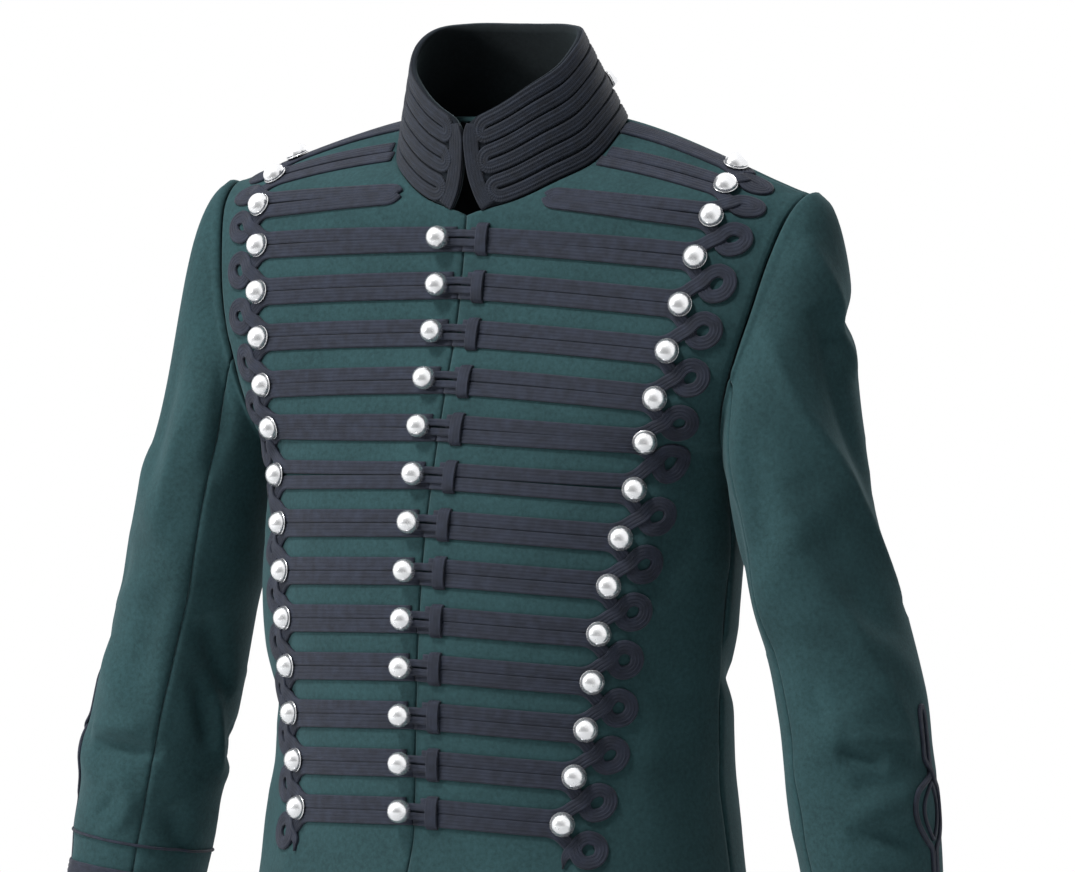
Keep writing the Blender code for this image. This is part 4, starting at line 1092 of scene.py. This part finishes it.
def collar_braid(collar):
    """Three hairpin loops of braid on each half, and a plain band up each front edge."""
    ribbons = Ribbons()
    end = collar.along[-1] / 2 - HAIRPIN_FROM_MIDDLE
    turns = np.radians(np.linspace(90, 270, 11))[1:-1]
    inward = HAIRPIN_TURN * (1 + np.cos(turns))
    run = np.arange(HAIRPIN_START + HAIRPIN_TURN, end - HAIRPIN_TURN, BAR_STEP)
    distance = np.concatenate([HAIRPIN_START + inward, run, end - inward, run[::-1]])
    leg = np.ones(len(run))
    across = np.concatenate([np.sin(turns), -leg, -np.sin(turns), leg])
    taper = np.clip((EDGE_BAND_SHARES - EDGE_BAND_TAPER_START) / (1 - EDGE_BAND_TAPER_START), 0, 1) ** 2
    band = EDGE_BAND_MIDDLE + EDGE_BAND_TURN * taper
    for side in (1, -1):
        for loop in range(COLLAR_ROWS // 2):
            spots, normals, heights = collar.at(distance, (2 * loop + 1 + 0.5 * across) / COLLAR_ROWS, side)
            widths = heights / COLLAR_ROWS * HAIRPIN_WIDTH_SHARE
            ribbons.sweep(spots, normals, COLLAR_SECTION, widths, closed=True)
        spots, normals, _ = collar.at(band, EDGE_BAND_SHARES, side)
        ribbons.sweep(spots, normals, EDGE_BAND_SECTION, 1 - EDGE_BAND_TAPER * taper)
    return ribbons


# Cuffs. Flat coordinates are across and down from the knot's tip.
KNOT_SECTION = corded_section(2.1, -0.3, 2.0, 2, 5)
KNOT_INNER_SECTION = corded_section(1.5, -0.3, 1.8, 1, 8)
KNOT_STEP = 1.7
HALF_KNOT_PATH = [
    (0, -1.5),
    (2.8, 2.5),
    (3.4, 12),
    (3.2, 30),
    (1.6, 38),
    (-1.8, 45),
    (-8.2, 49.5),
    (-14.6, 54.5),
    (-17.4, 63),
    (-15.2, 75),
    (-8.6, 86),
    (-2.9, 92.5),
    (-2.5, 104),
    (-2.5, CUFF_BAND_DOWN + 3),
]
KNOT_PATH = smooth_path(mirrored(HALF_KNOT_PATH[1:]) + HALF_KNOT_PATH, KNOT_STEP)
HALF_INNER_LOOP = [(0, 49), (-4, 54), (-7.6, 60), (-8.6, 67), (-6.8, 75), (-3.2, 82), (0, 86)]
KNOT_INNER_LOOP = smooth_path(HALF_INNER_LOOP + mirrored(HALF_INNER_LOOP[:-1]), KNOT_STEP)[:-1]
KNOT_CROSSING = (0, 42)
KNOT_CROSSING_SPREAD = 6
THIN_CORD_DOWN = 113.5
THIN_CORD_RADIUS = 1.1
THIN_CORD = round_section(THIN_CORD_RADIUS, 10)
CUFF_SECTION = corded_section(CUFF_BAND_WIDTH / 2, -0.4, 2.2, 6, 3, 0.4)
ROUND_CUFF = np.arange(0, 360, 2.5)
MM_PER_DEGREE_AT_CUFF = math.pi * SLEEVE_SECTIONS[-3][3] / 180


class Sleeve:
    """One sleeve's two sheets, read by angle and by height below the knot's tip."""

    def __init__(self, upper, under, side):
        self.upper = upper
        self.under = under
        self.side = side

    def at(self, angle, down):
        run = 1 + (CAP_END_Z - KNOT_TIP_Z + down) / ARM_STEP
        angle = (angle - BACK_SEAM_ANGLE) % 360 + BACK_SEAM_ANGLE - 360
        spots = np.zeros((len(angle), 3))
        normals = np.zeros((len(angle), 3))
        above = angle <= FRONT_SEAM_ANGLE
        for sheet, chosen in ((self.upper, above), (self.under, ~above)):
            if chosen.any():
                spots[chosen], normals[chosen] = sheet.under_braid(angle[chosen], run[chosen])
        return spots, normals

    def beside_knot(self, path):
        """Places of a path of flat coordinates round the knot's middle line."""
        return self.at(KNOT_ANGLES[self.side] + path[:, 0] / MM_PER_DEGREE_AT_CUFF, path[:, 1])


def cuff_braid(sleeve):
    """The knot with its inner loop, the thin cord round the sleeve and the band under it."""
    ribbons = Ribbons()
    spots, normals = sleeve.beside_knot(KNOT_PATH)
    lift = crossing_lift(KNOT_PATH, KNOT_CROSSING, KNOT_CROSSING_SPREAD)
    ribbons.sweep(spots + normals * lift, normals, KNOT_SECTION)
    spots, normals = sleeve.beside_knot(KNOT_INNER_LOOP)
    ribbons.sweep(spots, normals, KNOT_INNER_SECTION, closed=True)
    spots, normals = sleeve.at(ROUND_CUFF, np.full(len(ROUND_CUFF), THIN_CORD_DOWN))
    ribbons.sweep(spots + normals * THIN_CORD_RADIUS / 2, normals, THIN_CORD, closed=True)
    spots, normals = sleeve.at(ROUND_CUFF, np.full(len(ROUND_CUFF), CUFF_BAND_DOWN + CUFF_BAND_WIDTH / 2))
    ribbons.sweep(spots, normals, CUFF_SECTION, closed=True)
    return ribbons


# Buttons.
BUTTON_TURNS = 32
SIDEWAYS = (0.3, 0.2, 1.0)
BUTTON_SEAT = 2.7
COLLAR_BUTTON_SEAT = 1.9
SHANK = 2.0
BALL_SHARE = 0.94


def dome_profile(radius, height):
    """Radius and height from the crown down over the rounded rim to the back."""
    rim = 0.14 * height
    turns = np.radians(np.linspace(0, 90, 13))
    profile = [(0.95 * radius * math.sin(t), rim + (height - rim) * math.cos(t)) for t in turns]
    profile += [(0.9 * radius, rim), (0.99 * radius, 0.75 * rim), (radius, 0.45 * rim)]
    return profile + [(0.94 * radius, 0.1 * rim), (0.5 * radius, 0)]


def ball_profile(radius, height):
    """A fuller dome that turns in below its widest and stands on a shank."""
    turns = np.radians(np.linspace(0, 140, 17))
    profile = [(radius * math.sin(t), height - radius + radius * math.cos(t)) for t in turns]
    return profile + [(0.3 * radius, 0.05 * height), (0.28 * radius, -SHANK)]


class Turned:
    """Turned shapes collected into one mesh."""

    def __init__(self):
        self.points = []
        self.faces = []
        self.count = 0

    def add(self, profile, spots, normals, seat):
        """Turns a profile about the normal at one spot of the cloth, closed at the crown and at the back."""
        normal = normals[0]
        spot = spots[0] + normal * seat
        side = unit_rows(np.cross(normal, SIDEWAYS))
        other = np.cross(normal, side)
        turns = np.linspace(0, 2 * math.pi, BUTTON_TURNS, endpoint=False)
        around = np.outer(np.cos(turns), side) + np.outer(np.sin(turns), other)
        rings = [spot + normal * profile[0][1]]
        for radius, height in profile[1:]:
            rings += list(spot + normal * height + around * radius)
        self.points += rings
        size = BUTTON_TURNS
        first = self.count + 1
        for j in range(size):
            self.faces.append([first - 1, first + j, first + (j + 1) % size])
        for _ in profile[2:]:
            for j in range(size):
                after = (j + 1) % size
                self.faces.append([first + j, first + size + j, first + size + after, first + after])
            first += size
        self.faces.append(list(range(first + size - 1, first - 1, -1)))
        self.count += len(rings)

    def piece(self, name, material):
        return add_piece(name, self.points, self.faces, [material])


# Materials. Depths are in metres, and a noise's scale is counted per metre.
class Nodes:
    """A short way to build the nodes of a material or a world."""

    def __init__(self, tree):
        self.tree = tree

    def fill(self, socket, value):
        """Links a socket to an output, or sets it to a constant."""
        if isinstance(value, bpy.types.NodeSocket):
            self.tree.links.new(value, socket)
        else:
            socket.default_value = value

    def set(self, node, **inputs):
        for key, value in inputs.items():
            self.fill(node.inputs[key.replace("_", " ")], value)
        return node

    def add(self, kind, **inputs):
        return self.set(self.tree.nodes.new(kind), **inputs)

    def object_place(self):
        return self.add("ShaderNodeTexCoord").outputs["Object"]

    def noise(self, place, scale, detail, roughness=0.55):
        node = self.add("ShaderNodeTexNoise", Vector=place, Scale=scale, Detail=detail, Roughness=roughness)
        return node.outputs["Fac"]

    def ramp(self, value, stops):
        node = self.add("ShaderNodeValToRGB", Fac=value)
        elements = node.color_ramp.elements
        while len(elements) < len(stops):
            elements.new(0.5)
        for element, (position, colour) in zip(elements, stops):
            element.position = position
            element.color = (*colour, 1)
        return node.outputs["Color"]

    def math(self, operation, *values):
        node = self.add("ShaderNodeMath")
        node.operation = operation
        for socket, value in zip(node.inputs, values):
            self.fill(socket, value)
        return node.outputs["Value"]

    def blend(self, first, first_share, second, second_share):
        first = self.math("MULTIPLY", first, first_share)
        return self.math("ADD", first, self.math("MULTIPLY", second, second_share))

    def bump(self, height, distance, strength, **under):
        node = self.add("ShaderNodeBump", Height=height, Distance=distance, Strength=strength, **under)
        return node.outputs["Normal"]


class Material(Nodes):
    """A material whose constants and links are given by the names of its shader's inputs."""

    def __init__(self, name, **constants):
        self.material = bpy.data.materials.new(name)
        self.material.use_nodes = True
        super().__init__(self.material.node_tree)
        self.shader = self.tree.nodes["Principled BSDF"]
        self.set(self.shader, **constants)

    def done(self, **links):
        self.set(self.shader, **links)
        return self.material


def shade(colour, factor):
    return tuple(c * factor for c in colour)


def wool(name, colour, nap):
    """Fulled wool: a soft nap over a faint weave, slightly uneven in colour."""
    tint = (0.55, 0.75, 0.8, 1)
    sheen = {"Sheen_Weight": 0.12, "Sheen_Roughness": 0.45, "Sheen_Tint": tint}
    cloth = Material(name, Roughness=0.9, Specular_IOR_Level=0.2, **sheen)
    place = cloth.object_place()
    broad = cloth.noise(place, 22, 3)
    fine = cloth.noise(place, 330, 6, 0.72)
    fibres = cloth.noise(place, 1900, 2, 0.6)
    stops = [(0.36, shade(colour, 0.74)), (0.5, colour), (0.64, shade(colour, 1.28))]
    mottled = cloth.ramp(cloth.blend(broad, 0.3, fine, 0.7), stops)
    soft = cloth.bump(fine, nap, 0.6)
    return cloth.done(Base_Color=mottled, Normal=cloth.bump(fibres, nap * 0.4, 0.5, Normal=soft))


def braid(name, colour, thread):
    """Flat braid: fine threads along its length, crossed by the slant of the plait, with painted shade in
    their grooves.
    """
    flat = Material(name, Roughness=0.72, Specular_IOR_Level=0.3, Sheen_Weight=0.08, Sheen_Roughness=0.4)
    place = flat.add("ShaderNodeTexCoord")
    along, across, _ = flat.add("ShaderNodeSeparateXYZ", Vector=place.outputs["UV"]).outputs
    lines = flat.math("SINE", flat.math("MULTIPLY", across, 2 * math.pi / thread))
    slant = flat.math("ADD", along, flat.math("MULTIPLY", flat.math("ABSOLUTE", across), 0.8))
    plait = flat.math("SINE", flat.math("MULTIPLY", slant, 2 * math.pi / (1.5 * thread)))
    relief = flat.blend(lines, 0.6, plait, 0.4)
    uneven = flat.noise(place.outputs["Object"], 140, 3)
    # The colour follows the relief: painted shade in the grooves and painted highlight on the threads, mixed
    # with uneven tone.
    groove_shade_and_tone = flat.math("ADD", flat.math("MULTIPLY", relief, 0.16), uneven)
    stops = [(0.25, shade(colour, 0.6)), (0.5, colour), (0.72, shade(colour, 1.45))]
    return flat.done(Base_Color=flat.ramp(groove_shade_and_tone, stops), Normal=flat.bump(relief, 0.00022, 0.8))


def chrome():
    """Bright metal, polished unevenly by wear."""
    metal = Material("bright_metal", Metallic=0.85, Base_Color=(0.9, 0.905, 0.92, 1))
    wear = metal.noise(metal.object_place(), 260, 4)
    rough = metal.math("ADD", metal.math("MULTIPLY", wear, 0.2), 0.15)
    return metal.done(Roughness=rough, Normal=metal.bump(wear, 0.00008, 0.3))


def plain(name, colour, roughness):
    paper = Material(name, Roughness=roughness)
    uneven = paper.noise(paper.object_place(), 6, 2)
    return paper.done(Base_Color=paper.ramp(uneven, [(0.3, shade(colour, 0.985)), (0.7, colour)]))


GREEN = (0.025, 0.064, 0.07)
NAVY = (0.019, 0.024, 0.04)
COLLAR_NAVY = (0.0105, 0.0145, 0.024)
WOOL = wool("green_wool", GREEN, 0.0004)
COLLAR_WOOL = wool("collar_wool", (0.008, 0.011, 0.016), 0.0002)
LINING = wool("dark_lining", (0.012, 0.016, 0.018), 0.0002)
BRAID_SHADE = braid("navy_braid", NAVY, 0.00085)
COLLAR_BRAID = braid("collar_braid", COLLAR_NAVY, 0.00085)
CHROME = chrome()

LEFT_AND_RIGHT = (("left", 1), ("right", -1))


def lay(name, sheet, node, outer=WOOL, thickness=CLOTH):
    """Lays a sheet in the place of a node, as cloth of a thickness with its outer material and the lining
    inside.
    """
    obj = cloth_piece(name, sheet, thickness, [outer, LINING])
    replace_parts(obj, node)


def one(value):
    """A single distance, angle or level, in the form that the sheets read."""
    return np.array([float(value)])


fronts = {}
sleeves = {}
for label, side in LEFT_AND_RIGHT:
    fronts[side] = Front(front_sheet(side), side)
    lay(f"front_cloth_{label}", fronts[side].sheet, f"front_{label}")
lay("back_cloth", back_sheet(), "back")

for label, side in LEFT_AND_RIGHT:
    upper = sleeve_sheet(side, angles_between(BACK_SEAM_ANGLE - 360, FRONT_SEAM_ANGLE, 70))
    under = sleeve_sheet(side, angles_between(FRONT_SEAM_ANGLE, BACK_SEAM_ANGLE, 34))
    sleeves[side] = Sleeve(upper, under, side)
    for cut, sheet in (("sleeve_upper", upper), ("sleeve_under", under)):
        lay(f"{cut}_cloth_{label}", sheet, f"{cut}_{label}")

collar = Collar()
lay("collar_cloth", collar.sheet, "collar", COLLAR_WOOL, COLLAR_WALL)
collar_braid(collar).piece("collar_trim", COLLAR_BRAID)

for label, side in LEFT_AND_RIGHT:
    obj = frogging_strands(fronts[side]).piece(f"front_braid_{label}", BRAID_SHADE)
    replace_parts(obj, f"frogging_{label}")
    obj = cuff_braid(sleeves[side]).piece(f"cuff_trim_{label}", BRAID_SHADE)
    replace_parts(obj, f"cuff_braid_{label}")
closing_loops(fronts).piece("closing_loops", BRAID_SHADE)

dome = dome_profile(BUTTON_RADIUS, BUTTON_HEIGHT)
ball = ball_profile(BUTTON_RADIUS * BALL_SHARE, BUTTON_HEIGHT + SHANK)
small_dome = dome_profile(COLLAR_BUTTON_RADIUS, COLLAR_BUTTON_RADIUS)
collar_buttons = Turned()
for label, side in LEFT_AND_RIGHT:
    outer_buttons = Turned()
    names = []
    for number, row in enumerate(ALL_ROWS, 1):
        spots, normals = fronts[side].at(one(fronts[side].button_at(row)), one(row))
        outer_buttons.add(dome, spots, normals, BUTTON_SEAT)
        names.append(f"button_{label}_{number:02d}")
    obj = outer_buttons.piece(f"outer_buttons_{label}", CHROME)
    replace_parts(obj, *names)
    along = np.interp(COLLAR_BUTTON_ANGLE, collar.angles, collar.along)
    spots, normals, _ = collar.at(one(along), one(COLLAR_BUTTON_SHARE), side)
    collar_buttons.add(small_dome, spots, normals, COLLAR_BUTTON_SEAT)
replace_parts(collar_buttons.piece("collar_buttons", CHROME), "button_collar_left", "button_collar_right")
closing_buttons = Turned()
for row in range(1, CLOSING_ROWS + 1):
    spots, normals = over_closure(fronts, one(-straight_value(BUTTON_INSET, row)), one(row))
    closing_buttons.add(ball, spots, normals, BUTTON_SEAT + SHANK)
obj = closing_buttons.piece("closing_buttons", CHROME)
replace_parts(obj, *[f"button_front_{row:02d}" for row in range(1, CLOSING_ROWS + 1)])


# Floor, light and camera, in metres apart from the known point and MM_PER_PIXEL.
FLOOR_Z = -0.66
FLOOR_RADIUS = 1.2
middle = (0, 0, FLOOR_Z)
bpy.ops.mesh.primitive_circle_add(vertices=96, radius=FLOOR_RADIUS, fill_type="NGON", location=middle)
floor = bpy.context.object
floor.name = "floor"
floor.data.materials.append(plain("pale_floor", (0.86, 0.86, 0.86), 0.7))

# The world is white behind the jacket and soft on the cloth. The buttons mirror a bright room that darkens
# toward the front: how far a direction points that way, and the colour there.
DARK_WAY = (0.1, -0.96, -0.26)
DARKENING = [(0.4, (1, 1, 1)), (0.9, (0.34, 0.34, 0.34))]
world = bpy.data.worlds.new("studio")
bpy.context.scene.world = world
world.use_nodes = True
studio = Nodes(world.node_tree)
ray = studio.add("ShaderNodeLightPath").outputs


def backdrop(colour, strength):
    return studio.add("ShaderNodeBackground", Color=colour, Strength=strength).outputs["Background"]


def either(test, no, yes):
    mix = studio.add("ShaderNodeMixShader", Fac=test)
    studio.fill(mix.inputs[1], no)
    studio.fill(mix.inputs[2], yes)
    return mix.outputs["Shader"]


facing = studio.add("ShaderNodeVectorMath")
facing.operation = "DOT_PRODUCT"
studio.fill(facing.inputs[0], studio.add("ShaderNodeTexCoord").outputs["Generated"])
studio.fill(facing.inputs[1], DARK_WAY)
room = backdrop(studio.ramp(facing.outputs["Value"], DARKENING), 1.1)
lit = either(ray["Is Glossy Ray"], backdrop((0.86, 0.93, 1, 1), 0.16), room)
seen = either(ray["Is Camera Ray"], lit, backdrop((1, 1, 1, 1), 1))
studio.fill(world.node_tree.nodes["World Output"].inputs["Surface"], seen)
bpy.context.scene.view_settings.view_transform = "Standard"

# The camera's direction and roll, and a point of the jacket with its place in the photograph
AZIMUTH = math.radians(30)
ROLL = math.radians(2.2)
DISTANCE = 6.0
MM_PER_PIXEL = 0.70
IMAGE_WIDTH = 1075
IMAGE_HEIGHT = 872
SENSOR = 36.0
KNOWN_POINT = np.array([0.0, -118.0, -78.0])
KNOWN_PIXEL = (464.5, 238)
LIT_POINT = np.array([0.0, -0.05, -0.25])

back_way = np.array([math.sin(AZIMUTH), -math.cos(AZIMUTH), 0.0])
right_way = np.array([math.cos(AZIMUTH), math.sin(AZIMUTH), 0.0])
up_way = np.array([0.0, 0.0, 1.0])


def studio_light(name, right, back, up, size, power):
    """An area light on the lit point, placed as the camera sees it: metres to the right, nearer and up."""
    data = bpy.data.lights.new(name, "AREA")
    data.size = size
    data.energy = power
    obj = bpy.data.objects.new(name, data)
    place = right_way * right + back_way * back + up_way * up
    obj.location = place + LIT_POINT
    obj.rotation_euler = Vector(place).to_track_quat("Z", "Y").to_euler()
    bpy.context.scene.collection.objects.link(obj)


studio_light("key", -1.7, 1.4, 3.0, 0.7, 106)
studio_light("side", -3.3, 0.9, 0.8, 0.8, 58)
studio_light("rim", 1.8, -2.2, 1.8, 1.2, 20)

camera_right = right_way * math.cos(ROLL) + up_way * math.sin(ROLL)
camera_up = -right_way * math.sin(ROLL) + up_way * math.cos(ROLL)
right_by = IMAGE_WIDTH / 2 - KNOWN_PIXEL[0]
down_by = IMAGE_HEIGHT / 2 - KNOWN_PIXEL[1]
target = (KNOWN_POINT + (camera_right * right_by - camera_up * down_by) * MM_PER_PIXEL) * MM
camera_data = bpy.data.cameras.new("camera")
camera_data.sensor_width = SENSOR
camera_data.lens = DISTANCE / (MM_PER_PIXEL * MM) * SENSOR / IMAGE_WIDTH
camera_data.clip_end = 50
camera = bpy.data.objects.new("camera", camera_data)
axes = np.stack([camera_right, camera_up, back_way], axis=1)
place = Matrix.Translation(Vector(target + back_way * DISTANCE))
camera.matrix_world = place @ Matrix(axes.tolist()).to_4x4()
bpy.context.scene.collection.objects.link(camera)
bpy.context.scene.camera = camera
